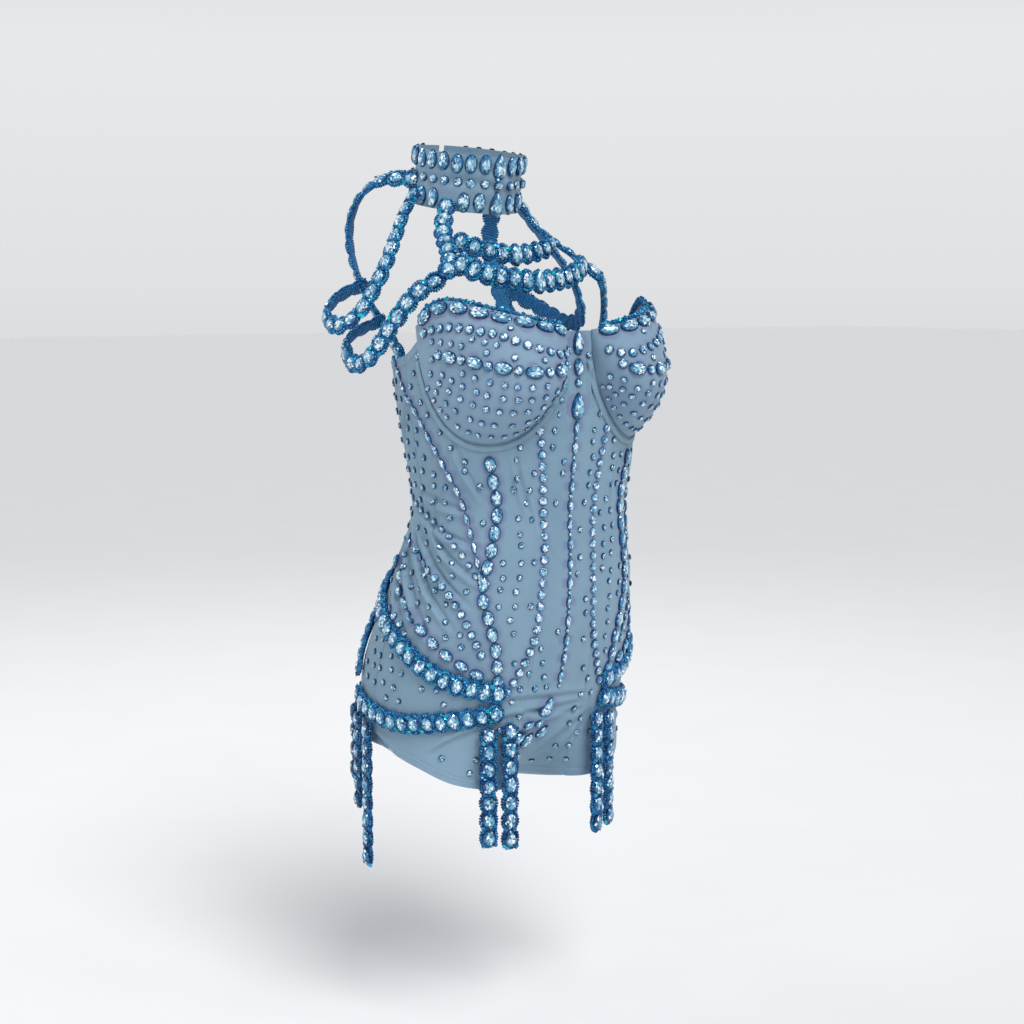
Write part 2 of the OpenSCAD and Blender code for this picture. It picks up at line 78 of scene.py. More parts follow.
def smooth(t, rows):
    """A smooth curve through rows whose first entry is the key."""
    r = np.asarray(rows, float)
    t = np.clip(np.asarray(t, float), r[0, 0], r[-1, 0])
    slope = np.empty_like(r)
    slope[0] = (r[1] - r[0]) / (r[1, 0] - r[0, 0])
    slope[-1] = (r[-1] - r[-2]) / (r[-1, 0] - r[-2, 0])
    slope[1:-1] = (r[2:] - r[:-2]) / (r[2:, 0] - r[:-2, 0])[:, None]
    k = np.clip(np.searchsorted(r[:, 0], t, side="right") - 1, 0, len(r) - 2)
    h = (r[k + 1, 0] - r[k, 0])[..., None]
    s = (t - r[k, 0])[..., None] / h
    return (
        r[k] * (2 * s**3 - 3 * s**2 + 1) + slope[k] * h * (s**3 - 2 * s**2 + s)
        + r[k + 1] * (3 * s**2 - 2 * s**3) + slope[k + 1] * h * (s**3 - s**2)
    )


def set_down(v, p, s, u, n):
    """A shape's points v at each place p, with its x, y and z along s, u and n."""
    return p[:, None] + v[..., 0:1] * s[:, None] + v[..., 1:2] * u[:, None] + v[..., 2:3] * n[:, None]


def curve(points, n):
    """A smooth curve through points, n steps between each pair."""
    keyed = [(i, *p) for i, p in enumerate(points)]
    return smooth(np.linspace(0, len(points) - 1, (len(points) - 1) * n + 1), keyed)[:, 1:]


def unit(v):
    v = np.asarray(v, float)
    return v / np.maximum(np.linalg.norm(v, axis=-1, keepdims=True), 1e-9)


def mix(a, b, t):
    return a + (b - a) * t


def bell(x, width):
    return np.exp(-((x / width) ** 2))


def grid(rows, columns):
    return np.meshgrid(rows, columns, indexing="ij")


def run_along(p):
    """Distance along a line at each of its points."""
    return np.concatenate([[0], np.cumsum(np.linalg.norm(np.diff(p, axis=0), axis=1))])


def body(a, z):
    a, z = np.broadcast_arrays(np.asarray(a, float), np.asarray(z, float))
    _, wide, front, back = np.moveaxis(smooth(z, STATIONS), -1, 0)
    _, g_front, g_back = np.moveaxis(smooth(z, HOLLOW), -1, 0)
    s, c = np.sin(np.radians(a)), np.cos(np.radians(a))
    x = wide * np.sign(s) * np.abs(s) ** SQUARENESS
    near = bell(x, HOLLOW_W)
    y = (back - front) / 2 - (back + front) / 2 * np.sign(c) * np.abs(c) ** SQUARENESS
    return np.stack([x, y + np.where(c > 0, g_front, -g_back) * near, z], -1)


def normal(a, z):
    return unit(np.cross(body(a + 1, z) - body(a - 1, z), body(a, z + 2) - body(a, z - 2)))


def wire_z(a):
    t = np.abs(a - WIRE_MID) / WIRE_HALF
    return WIRE_TOP - WIRE_DROP * np.sqrt(np.maximum(0, 1 - t**2.2))


def top_z(a):
    a = np.asarray(a, float)
    return np.where(a > WIRE_MID + WIRE_HALF, smooth(a, TOP_LINE)[..., 1], wire_z(a) + 4)


def hem_z(a):
    return smooth(np.abs(a), HEM_LINE)[..., 1]


def princess_a(z):
    return smooth(z, PRINCESS)[..., 1]


# Soft folds as the stretch cloth shows them: from angle, height, to angle, height, half width, rise
FOLDS = [
    (-118, -30, -82, -138, 3.6, 2.0), (-110, -26, -64, -142, 3.4, 2.4), (-102, -24, -53, -128, 3.2, 2.5),
    (-94, -26, -47, -104, 3.2, 2.3), (-88, -18, -40, -84, 3.4, 2.1), (-102, -4, -46, -46, 3.6, 2.0),
    (-98, 14, -52, -10, 4, 1.5), (-66, 70, -50, 4, 4, 1.3), (-31, 60, -22, -16, 3.6, 1.4),
    (-9.5, 166, -10, 84, 1.8, 1.3), (-4.6, 160, -5.2, 70, 1.6, 1.1), (5.4, 164, 6.4, 84, 1.8, 1.3),
    (18, -194, -34, -188, 3.6, 1.1), (18, -200, -36, -212, 3.8, 1.2), (17, -206, -30, -238, 4, 1.2),
    (16, -212, -8, -264, 4.4, 1.1), (13, -226, 3, -278, 4.4, 1.0), (-17, -206, 12, -222, 3.4, 1.0),
    (-24, -214, -60, -246, 4, 1.4), (26, -214, 62, -244, 4, 1.4), (30, 60, 23, -12, 3.8, 1.3),
    (66, 72, 52, 2, 4, 1.3), (116, -28, 80, -136, 3.6, 2.0), (108, -24, 63, -140, 3.4, 2.2),
    (100, -26, 54, -124, 3.2, 2.3), (92, -24, 46, -98, 3.4, 2.0), (100, -2, 46, -44, 3.6, 1.8),
    (-176, -6, -126, 8, 4, 1.8), (176, -10, 128, 10, 4, 1.7), (-176, -22, -132, -26, 4, 1.7),
    (175, -27, 134, -28, 4, 1.6), (-172, 24, -120, 34, 4.5, 1.4), (171, 20, 122, 36, 4.5, 1.4),
    (-168, -280, -136, -222, 4.5, 1.8), (168, -280, 137, -220, 4.5, 1.8), (-174, -262, -156, -206, 4, 1.4),
    (174, -260, 157, -204, 4, 1.4), (-88, 118, -112, 60, 4.5, 1.3), (88, 120, 114, 62, 4.5, 1.3),
    (-74, -254, -104, -222, 4.5, 1.5), (76, -252, 106, -220, 4.5, 1.5), (-20, 20, -10, -60, 4, 0.9),
]


def fold(a, z):
    """How far the cloth stands off its plain surface: folds, slight unevenness, seams and hems."""
    a, z = np.broadcast_arrays(np.asarray(a, float), np.asarray(z, float))
    x = a * ARC
    out = 0.28 * np.sin(x / 17 + 1.3 * np.sin(z / 29)) * np.sin(z / 23 + 0.8 * np.sin(x / 31))
    for a0, z0, a1, z1, w, rise in FOLDS:
        d = np.array([(a1 - a0) * ARC, z1 - z0])
        length = np.hypot(*d)
        d = d / length
        along = ((x - a0 * ARC) * d[0] + (z - z0) * d[1]) / length
        off = (x - a0 * ARC) * -d[1] + (z - z0) * d[0] + 3 * np.sin(along * 4)
        fade = np.clip(np.sin(np.pi * np.clip(along, 0, 1)), 0, 1) ** 0.7
        valley = 0.75 * bell(off - 1.6 * w, 0.7 * w)
        out = out + FOLD_RISE * rise * fade * (bell(off, w) - valley)
    below = z < wire_z(np.abs(a)) + 6
    for seam in (princess_a(z), np.full(z.shape, float(SIDE_SEAM))):
        gap = (np.abs(a) - seam) * ARC
        out = out + np.where(below, 0.35 * bell(gap, 5) - 0.95 * bell(gap, 0.9), 0)
    up = z - hem_z(a)
    down = np.where(np.abs(a) > WIRE_MID + WIRE_HALF, top_z(np.abs(a)) - z, 99)
    for edge in (up, down):
        near = np.clip(edge - HEM_DEPTH, -20, 20)
        out = out + 0.5 / (1 + np.exp(near * 2.2)) - 0.5 * bell(near, 0.9)
    return out


def skin(a, z, out=0.0):
    a, z = np.broadcast_arrays(np.asarray(a, float), np.asarray(z, float))
    return body(a, z) + (np.asarray(out) + fold(a, z))[..., None] * normal(a, z)


def cloth_normal(a, z):
    """The cloth's own normal, folds and all."""
    return unit(np.cross(skin(a + 1.5, z) - skin(a - 1.5, z), skin(a, z + 3) - skin(a, z - 3)))


def cup_top(u):
    return smooth(u, [(0, 177), (0.3, 189), (0.6, 200), (0.78, 205), (0.9, 198), (1, 180)])[..., 1]


def cup_point(u, v, out=1.0):
    """A point on the wearer's left cup: u from the centre front outwards, v from the wire up."""
    u, v = np.broadcast_arrays(np.asarray(u, float), np.asarray(v, float))
    a = WIRE_MID + WIRE_HALF * (2 * u - 1)
    z = mix(wire_z(a), cup_top(u), v)
    fall = 1 - 0.58 * (np.maximum(v - 0.5, 0) * 2) ** 1.7
    rise = np.where(v < 0.5, np.sin(np.pi * np.minimum(v, 0.5)), fall)
    bulge = CUP_BULGE * np.maximum(0, np.sin(np.pi * u**0.82)) ** 0.75 * rise
    edge = np.minimum(1, 6 * v) * np.minimum(1, 5 * np.minimum(u, 1 - u))
    thick = (0.6 + out * mix(1.4, CUP_PAD, edge))[..., None] * normal(a, z)
    return body(a, z) + thick + bulge[..., None] * np.array([-0.1, -0.985, 0])


# ---------- materials ----------
def material(name, build):
    m = bpy.data.materials.new(name)
    m.use_nodes = True
    tree = m.node_tree
    build(tree, tree.nodes["Principled BSDF"])
    return m


def feed(tree, target, inputs):
    """Links or sets a node's sockets."""
    for key, value in inputs.items():
        if hasattr(value, "is_output"):
            tree.links.new(value, target.inputs[key])
        else:
            target.inputs[key].default_value = value


def node(tree, kind, inputs, **settings):
    n = tree.nodes.new(kind)
    for key, value in settings.items():
        setattr(n, key, value)
    feed(tree, n, inputs)
    return n


def ramp(tree, value, stops):
    n = node(tree, "ShaderNodeValToRGB", {0: value})
    while len(n.color_ramp.elements) < len(stops):
        n.color_ramp.elements.new(0.5)
    for e, (at, colour) in zip(n.color_ramp.elements, stops):
        e.position = at
        e.color = (*colour, 1)
    return n.outputs[0]


def bump(tree, height, distance, strength):
    inputs = {"Height": height, "Distance": distance, "Strength": strength}
    return node(tree, "ShaderNodeBump", inputs).outputs[0]


def attribute(tree, name, out="Fac"):
    return node(tree, "ShaderNodeAttribute", {}, attribute_name=name).outputs[out]


def maths(tree, op, a, b):
    return node(tree, "ShaderNodeMath", {0: a, 1: b}, operation=op).outputs[0]


def plus(tree, a, b):
    return maths(tree, "ADD", a, b)


def times(tree, a, b):
    return maths(tree, "MULTIPLY", a, b)


def minus(tree, a, b):
    return maths(tree, "SUBTRACT", a, b)


def place(tree, out="Object"):
    return node(tree, "ShaderNodeTexCoord", {}).outputs[out]


def noise(tree, at, scale, detail):
    return node(tree, "ShaderNodeTexNoise", {"Vector": at, "Scale": scale, "Detail": detail}).outputs["Fac"]


def stripes(tree, at, direction, scale, distortion, detail):
    inputs = {"Vector": at, "Scale": scale, "Distortion": distortion, "Detail": detail}
    return node(tree, "ShaderNodeTexWave", inputs, bands_direction=direction).outputs["Fac"]


PAINTED_STONE_SHADE = (0.19, 0.235, 0.4)  # painted shade: the cloth's colour close round a bigger stone


def cloth(light, dark, rib):
    """Matt stretch knit: fine ribs and cross courses on the cloth's own flat coordinates."""

    def build(tree, shader):
        flat = attribute(tree, "flat", "Vector")
        ribs = stripes(tree, flat, "X", rib, 0.6, 1.0)
        rows = stripes(tree, flat, "Y", rib * 0.8, 0.4, 2.0)
        fibre = noise(tree, flat, 900.0, 3.0)
        patch = noise(tree, place(tree), 14.0, 4.0)
        knit = plus(tree, times(tree, ribs, rows), times(tree, fibre, 0.7))
        shade = plus(tree, times(tree, knit, 0.28), times(tree, patch, 0.62))
        knitted = ramp(tree, shade, [(0.25, dark), (0.8, light)])
        # The mix darkens the knit towards painted shade close round the bigger stones
        colours = {0: attribute(tree, "painted_stone_shade"), 6: knitted, 7: (*PAINTED_STONE_SHADE, 1)}
        feed(tree, shader, {
            "Base Color": node(tree, "ShaderNodeMix", colours, data_type="RGBA").outputs[2],
            "Roughness": plus(tree, times(tree, fibre, 0.2), 0.55),
            "Sheen Weight": 0.25, "Sheen Roughness": 0.45, "Sheen Tint": (0.75, 0.88, 1, 1),
            "Specular IOR Level": 0.3, "Normal": bump(tree, knit, 0.00025, 0.6),
        })

    return build


def braid_look(tree, shader):
    """Blue thread, beads and sequins: tint picks the blue and gloss tells thread from bead."""
    tint, gloss, at = attribute(tree, "tint"), attribute(tree, "gloss"), place(tree)
    fleck = noise(tree, at, 420.0, 2.0)
    shade = plus(tree, tint, times(tree, minus(tree, fleck, 0.5), 0.35))
    blues = [(0.0, (0.002, 0.018, 0.1)), (0.3, (0.004, 0.09, 0.29)), (0.6, (0.012, 0.23, 0.48)),
             (0.85, (0.05, 0.4, 0.62)), (0.97, (0.0, 0.6, 0.64))]
    twist = times(tree, noise(tree, at, 1500.0, 2.0), minus(tree, 1.0, gloss))
    feed(tree, shader, {
        "Base Color": ramp(tree, shade, blues), "Roughness": minus(tree, 0.62, times(tree, gloss, 0.44)),
        "Metallic": times(tree, gloss, 0.45), "Normal": bump(tree, twist, 0.0002, 0.7),
    })


def stone_look(tree, shader):
    """Foil-backed aqua cut glass: each facet's tone paints its light and shade, white for painted glints."""
    cloud = noise(tree, place(tree), 260.0, 1.0)
    shade = plus(tree, attribute(tree, "tint"), times(tree, minus(tree, cloud, 0.5), 0.35))
    # Dark stops are painted shade, the middle is the glass's own aqua, the top is white painted glint
    aquas_and_painted_glints = [(0.0, (0.005, 0.022, 0.065)), (0.2, (0.012, 0.11, 0.29)), (0.42, (0.055, 0.25, 0.44)),
             (0.62, (0.2, 0.45, 0.6)), (0.82, (0.42, 0.65, 0.76)), (1.0, (0.93, 0.98, 1.0))]
    feed(tree, shader, {
        "Base Color": ramp(tree, shade, aquas_and_painted_glints), "Metallic": 0.15, "IOR": 1.6,
        "Roughness": plus(tree, times(tree, cloud, 0.08), 0.03), "Normal": bump(tree, cloud, 0.0001, 0.15),
    })


def metal_look(tree, shader):
    """Nickel brushed along one direction."""
    brushed = node(tree, "ShaderNodeMapping", {"Vector": place(tree), "Scale": (40, 40, 900)}).outputs[0]
    scratch = noise(tree, brushed, 3.0, 4.0)
    feed(tree, shader, {
        "Base Color": ramp(tree, scratch, [(0.3, (0.42, 0.45, 0.5)), (0.7, (0.68, 0.7, 0.74))]),
        "Metallic": 1.0, "Roughness": plus(tree, times(tree, scratch, 0.25), 0.16),
        "Normal": bump(tree, scratch, 0.00005, 0.4),
    })


FABRIC = material("stretch_knit", cloth((0.26, 0.402, 0.515), (0.174, 0.294, 0.403), 620.0))
CUP_CLOTH = material("cup_knit", cloth((0.272, 0.405, 0.526), (0.184, 0.3, 0.415), 620.0))
COLLAR_CLOTH = material("collar_knit", cloth((0.258, 0.395, 0.51), (0.17, 0.285, 0.395), 560.0))
ELASTIC = material("woven_elastic", cloth((0.78, 0.82, 0.86), (0.6, 0.66, 0.73), 300.0))
TAPE = material("zip_tape_weave", cloth((0.21, 0.33, 0.43), (0.145, 0.24, 0.335), 420.0))
THREAD = material("sewing_thread", cloth((0.28, 0.42, 0.52), (0.19, 0.3, 0.4), 800.0))
BRAID = material("sequin_and_bead_braid", braid_look)
STONE = material("foiled_glass", stone_look)
METAL = material("nickel", metal_look)


# ---------- meshes ----------
def face_out(mesh):
    """Turns every closed shell's faces outwards."""
    bm = bmesh.new()
    bm.from_mesh(mesh)
    bmesh.ops.recalc_face_normals(bm, faces=bm.faces)
    bm.to_mesh(mesh)
    bm.free()


class Parts:
    """Collects vertices and faces in millimetres, with values on each vertex or face, for one piece."""

    def __init__(self):
        self.verts, self.loops, self.sizes, self.count = [], [], [], 0
        self.flat, self.tint, self.gloss = [], [], []

    def add(self, verts, loops, sizes, flat=None, tint=0.5, gloss=0.0):
        verts = np.asarray(verts, float).reshape(-1, 3)
        sizes = np.asarray(sizes, int).ravel()
        self.verts.append(verts)
        self.loops.append(np.asarray(loops, int).ravel() + self.count)
        self.sizes.append(sizes)
        self.count += len(verts)
        self.flat.append(verts if flat is None else np.asarray(flat, float).reshape(-1, 3))
        self.tint.append(np.broadcast_to(np.asarray(tint, float).ravel(), len(sizes)))
        self.gloss.append(np.broadcast_to(float(gloss), len(sizes)))

    def build(self, name, look, slot, rides="bodysuit", facets=False, crease=50):
        """Makes the object; facets leaves every face flat, crease is the sharp angle otherwise."""
        sizes = np.concatenate(self.sizes)
        loops = np.concatenate(self.loops)
        me = bpy.data.meshes.new(name)
        me.vertices.add(self.count)
        me.vertices.foreach_set("co", (np.concatenate(self.verts) * MM).ravel())
        me.loops.add(len(loops))
        me.loops.foreach_set("vertex_index", loops)
        me.polygons.add(len(sizes))
        me.polygons.foreach_set("loop_start", np.concatenate([[0], np.cumsum(sizes)[:-1]]))
        me.polygons.foreach_set("use_smooth", np.full(len(sizes), not facets))
        me.update(calc_edges=True)
        flat = me.attributes.new("flat", "FLOAT_VECTOR", "POINT")
        flat.data.foreach_set("vector", (np.concatenate(self.flat) * MM).ravel())
        for key in ("tint", "gloss"):
            values = me.attributes.new(key, "FLOAT", "FACE")
            values.data.foreach_set("value", np.concatenate(getattr(self, key)))
        face_out(me)
        if not facets:
            me.set_sharp_from_angle(angle=math.radians(crease))
        me.materials.append(look)
        ob = bpy.data.objects.new(name, me)
        bpy.context.scene.collection.objects.link(ob)
        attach(ob, rides)
        return ob


def quads(m, n, wrap=False):
    """Quads of a grid of m by n points; wrap joins the last column to the first."""
    i, j = grid(np.arange(m - 1), np.arange(n if wrap else n - 1))
    k = (j + 1) % n
    return np.stack([i * n + j, i * n + k, (i + 1) * n + k, (i + 1) * n + j], -1).reshape(-1, 4)


def closed_sheet(parts, outer, inner, flat=None):
    """A closed solid between two grids of points, with its faces turned outwards."""
    m, n = outer.shape[:2]
    q = quads(m, n)
    k = m * n
    rim = np.concatenate([
        np.arange(n), np.arange(1, m) * n + n - 1, (m - 1) * n + np.arange(n - 2, -1, -1),
        np.arange(m - 2, 0, -1) * n,
    ])
    nxt = np.roll(rim, -1)
    sides = np.stack([rim, nxt, nxt + k, rim + k], -1)
    faces = np.concatenate([q[:, ::-1], q + k, sides])
    uv = None if flat is None else np.concatenate([flat.reshape(-1, 3)] * 2)
    both = np.concatenate([outer.reshape(-1, 3), inner.reshape(-1, 3)])
    parts.add(both, faces, np.full(len(faces), 4), uv)


def tube(parts, p, s, n, wide, thick, sides=10, flatness=0.6, tint=0.5, gloss=0.0, weave=0.0):
    """A strip along points p with a rounded section, wide across s and thick along n; weave plaits it."""
    k = len(p)
    t = np.linspace(0, 2 * np.pi, sides, endpoint=False)
    cx = np.sign(np.cos(t)) * np.abs(np.cos(t)) ** flatness / 2
    cy = np.sign(np.sin(t)) * np.abs(np.sin(t)) ** flatness / 2
    wide, thick = np.broadcast_to(wide, k)[:, None, None], np.broadcast_to(thick, k)[:, None, None]
    plait = weave * np.sin(np.arange(k)[:, None] * 1.3 + np.arange(sides)[None] * 2.1) * np.sign(cy)[None]
    up = cy[None, :, None] * thick + plait[..., None]
    ring = p[:, None] + s[:, None] * cx[None, :, None] * wide + n[:, None] * up
    q = quads(k, sides, wrap=True)
    flat = np.stack(np.broadcast_arrays(cx[None] * wide[..., 0], run_along(p)[:, None], 0.0), -1)
    loops = np.concatenate([q.ravel(), np.arange(sides)[::-1], (k - 1) * sides + np.arange(sides)])
    if weave:
        i, j = grid(np.arange(k - 1), np.arange(sides))
        strands = 0.17 * np.sin(i * 1.3 + j * 2.1) + 0.12 * np.sin(i * 1.3 - j * 2.1)
        tint = tint + strands + rng.normal(0, 0.07, i.shape)
        tint = np.append(np.clip(tint, 0.02, 0.8).ravel(), [0.3, 0.3])
    parts.add(ring, loops, [4] * len(q) + [sides, sides], flat, tint, gloss)


class Route:
    """A line with outward normals that can be asked for its place at any distance."""

    def __init__(self, p, n):
        self.p, self.n = np.asarray(p, float), unit(n)
        self.s = run_along(self.p)
        self.length = self.s[-1]

    def at(self, d):
        """Point, direction along, and outward normal at distances d."""
        d = np.asarray(d, float)
        ahead, behind = np.minimum(d + 1.5, self.length), np.maximum(d - 1.5, 0)
        t = unit(self.pick(self.p, ahead) - self.pick(self.p, behind))
        n = self.pick(self.n, d)
        n = unit(n - t * np.sum(n * t, -1, keepdims=True))
        return self.pick(self.p, d), t, n

    def pick(self, rows, d):
        return np.stack([np.interp(d, self.s, rows[:, i]) for i in range(3)], -1)


def plain_route(a, z, out=0.0):
    """A route over the cloth through every angle and height given."""
    return Route(skin(a, z, out), normal(a, z))


def skin_route(rows, out=0.0, side=1, flush=False):
    """A route over the cloth; flush turns its normals with the folds."""
    a, z = (curve(rows, 12) * [side, 1]).T
    return Route(skin(a, z, out), (cloth_normal if flush else normal)(a, z))


def cage_route(points, side=1):
    """A route off the cloth, which faces away from the neck and turns forward over the chest."""
    p = curve(points, 12)
    v = p - np.stack([p[:, 0] * 0, NECK_Y * p[:, 2] / NECK_Z, p[:, 2]], -1)
    forward = 0.7 * np.clip((150 - p[:, 1]) / 100, 0, 1)
    lean = np.stack([forward * 0, -forward, forward * 0 + 0.25], -1)
    n = unit(v + lean * np.linalg.norm(v, axis=1, keepdims=True))
    return Route(p * [side, 1, 1], n * [side, 1, 1])


# ---------- stones ----------
def outline(cut, n):
    """Points round a stone's edge, one unit wide and one long."""
    t = (np.arange(n) + 0.5) / n * 2 * np.pi
    x, y = np.cos(t) / 2, np.sin(t) / 2
    if cut == "drop":
        x = x * ((1 - np.sin(t)) / 2) ** 0.32 * 1.16
    if cut == "navette":
        x = x * np.abs(np.cos(t)) ** 0.6
    return np.stack([x, y], -1)


def cut_stone(cut, n, table=0.56):
    """A faceted stone in a thin dark seat: seat, girdle, two rings of crown facets and a table."""
    full = outline(cut, n)
    half = (full + np.roll(full, -1, axis=0)) / 2
    rings = [
        (full * 1.08, 0.0), (full * 1.08, 0.15), (full * 0.97, 0.2), (full, 0.4),
        (half * mix(table, 1, 0.68), 0.76), (full * table, 1.0),
    ]
    verts = np.concatenate([np.column_stack([r, np.full(n, z)]) for r, z in rings] + [[[0, 0, 1.05]]])
    i = np.arange(n)
    j = (i + 1) % n
    loops, sizes, painted_facet_light = [], [], []

    def put(rows, painted_tone):
        loops.extend(np.asarray(rows).ravel())
        sizes.extend([np.shape(rows)[1]] * len(rows))
        painted_facet_light.extend([painted_tone] * len(rows))

    # Each facet's tone is painted light and shade of the cut glass: darkest at the seat and girdle, lightest
    # at the table
    put([i[::-1]], 0.03)
    for ring, painted_tone in ((0, 0.03), (1, 0.05), (2, 0.12)):
        low, high = ring * n, (ring + 1) * n
        put(np.stack([low + i, low + j, high + j, high + i], -1), painted_tone)
    girdle, crown, flat_top = 3 * n, 4 * n, 5 * n
    put(np.stack([girdle + i, girdle + j, crown + i], -1), 0.2)
    put(np.stack([girdle + j, crown + j, crown + i], -1), 0.3)
    put(np.stack([crown + i, crown + j, flat_top + j], -1), 0.42)
    put(np.stack([crown + i, flat_top + j, flat_top + i], -1), 0.5)
    put(np.stack([flat_top + i, flat_top + j, np.full(n, 6 * n)], -1), 0.68)
    return verts, np.array(loops), np.array(sizes), np.array(painted_facet_light)


CUTS = {
    "oval": cut_stone("oval", 12), "round": cut_stone("oval", 8, 0.62),
    "drop": cut_stone("drop", 12), "navette": cut_stone("navette", 10),
}
placed = []  # centre and radius of every stone on the garment, so that scattered ones keep clear


class Stones:
    """Stones of every cut for one piece."""

    def __init__(self):
        self.sets = {cut: [] for cut in CUTS}

    def set(self, cut, p, n, t, w, l, h, keep=True):
        s = unit(np.cross(t, n))
        self.sets[cut].append((p, s, unit(np.cross(n, s)), n, (w, l, h)))
        if keep:
            placed.append((*p, max(w, l) / 2))

    def row(self, route, places, cut, w, l, h, lengthwise, lift=0.0, keep=True):
        """The same stone at each distance along a route."""
        for p, t, n in zip(*route.at(places)):
            along = t if lengthwise else np.cross(t, n) * (1 if np.cross(t, n)[2] > 0 else -1)
            self.set(cut, p + n * lift, n, along, w, l, h, keep)

    def build(self, name, rides="bodysuit", deep=0.0):
        """Makes the piece; deep darkens its facets but not their painted glints."""
        parts = Parts()
        for cut, group in self.sets.items():
            if not group:
                continue
            verts, loops, sizes, painted_facet_light = CUTS[cut]
            k = len(group)
            p, s, u, n, size = (np.array([g[i] for g in group], float) for i in range(5))
            xyz = set_down(verts[None] * size[:, None, :], p, s, u, n)
            tint = painted_facet_light[None] - deep + rng.normal(0, 0.42, (k, len(painted_facet_light))) * np.clip(painted_facet_light, 0.04, 0.6)
            # Painted glints: about one crown facet in eleven turns white
            tint = np.where((rng.random(tint.shape) < 0.09) & (painted_facet_light > 0.2), 1.0, tint)
            every = loops[None] + (np.arange(k) * len(verts))[:, None]
            parts.add(xyz, every, np.tile(sizes, k), tint=np.clip(tint, 0, 1).ravel())
        return parts.build(name, STONE, "stones", rides, facets=True)


def spread(length, pitch, margin=6.0, odd=False):
    """Distances along a route, evenly spaced at about the pitch, from margin to margin."""
    count = max(1, round((length - 2 * margin) / pitch) + 1)
    if odd and count % 2 == 0:
        count += 1
    return np.linspace(margin, length - margin, count)


# ---------- beads, sequins and braid ----------
def icosahedron():
    g = (1 + 5**0.5) / 2
    v = [(-1, g, 0), (1, g, 0), (-1, -g, 0), (1, -g, 0), (0, -1, g), (0, 1, g), (0, -1, -g), (0, 1, -g),
         (g, 0, -1), (g, 0, 1), (-g, 0, -1), (-g, 0, 1)]
    f = [(0, 11, 5), (0, 5, 1), (0, 1, 7), (0, 7, 10), (0, 10, 11), (1, 5, 9), (5, 11, 4), (11, 10, 2),
         (10, 7, 6), (7, 1, 8), (3, 9, 4), (3, 4, 2), (3, 2, 6), (3, 6, 8), (3, 8, 9), (4, 9, 5),
         (2, 4, 11), (6, 2, 10), (8, 6, 7), (9, 8, 1)]
    return unit(np.array(v, float)) / 2, np.array(f)


def sequin():
    """A cupped disc, one unit across."""
    n = 7
    t = np.arange(n) / n * 2 * np.pi
    rim = np.stack([np.cos(t) / 2, np.sin(t) / 2, t * 0 + 0.16], -1)
    v = np.concatenate([rim, rim - [0, 0, 0.09], [[0, 0, 0.03]], [[0, 0, -0.06]]])
    i = np.arange(n)
    j = (i + 1) % n
    top, low = np.full(n, 2 * n), np.full(n, 2 * n + 1)
    f = np.concatenate([np.stack([i, j, top], -1), np.stack([n + j, n + i, low], -1),
                        np.stack([n + i, n + j, j], -1), np.stack([n + i, j, i], -1)])
    return v, f


BEAD, SEQUIN = icosahedron(), sequin()
SEQUINS = 3  # on each side of every gap between stones
SEQUIN_TINTS, SEQUIN_SHARES = [0.35, 0.5, 0.6, 0.75, 0.97], [0.22, 0.26, 0.26, 0.15, 0.11]


def stamp(parts, shape, p, s, u, n, size, tint, gloss):
    """Copies of a small shape, one at each point."""
    verts, faces = shape
    xyz = set_down(verts[None] * size[:, None, None], p, s, u, n)
    every = faces[None] + (np.arange(len(p)) * len(verts))[:, None, None]
    parts.add(xyz, every, np.full(len(p) * len(faces), 3), tint=np.repeat(tint, len(faces)), gloss=gloss)


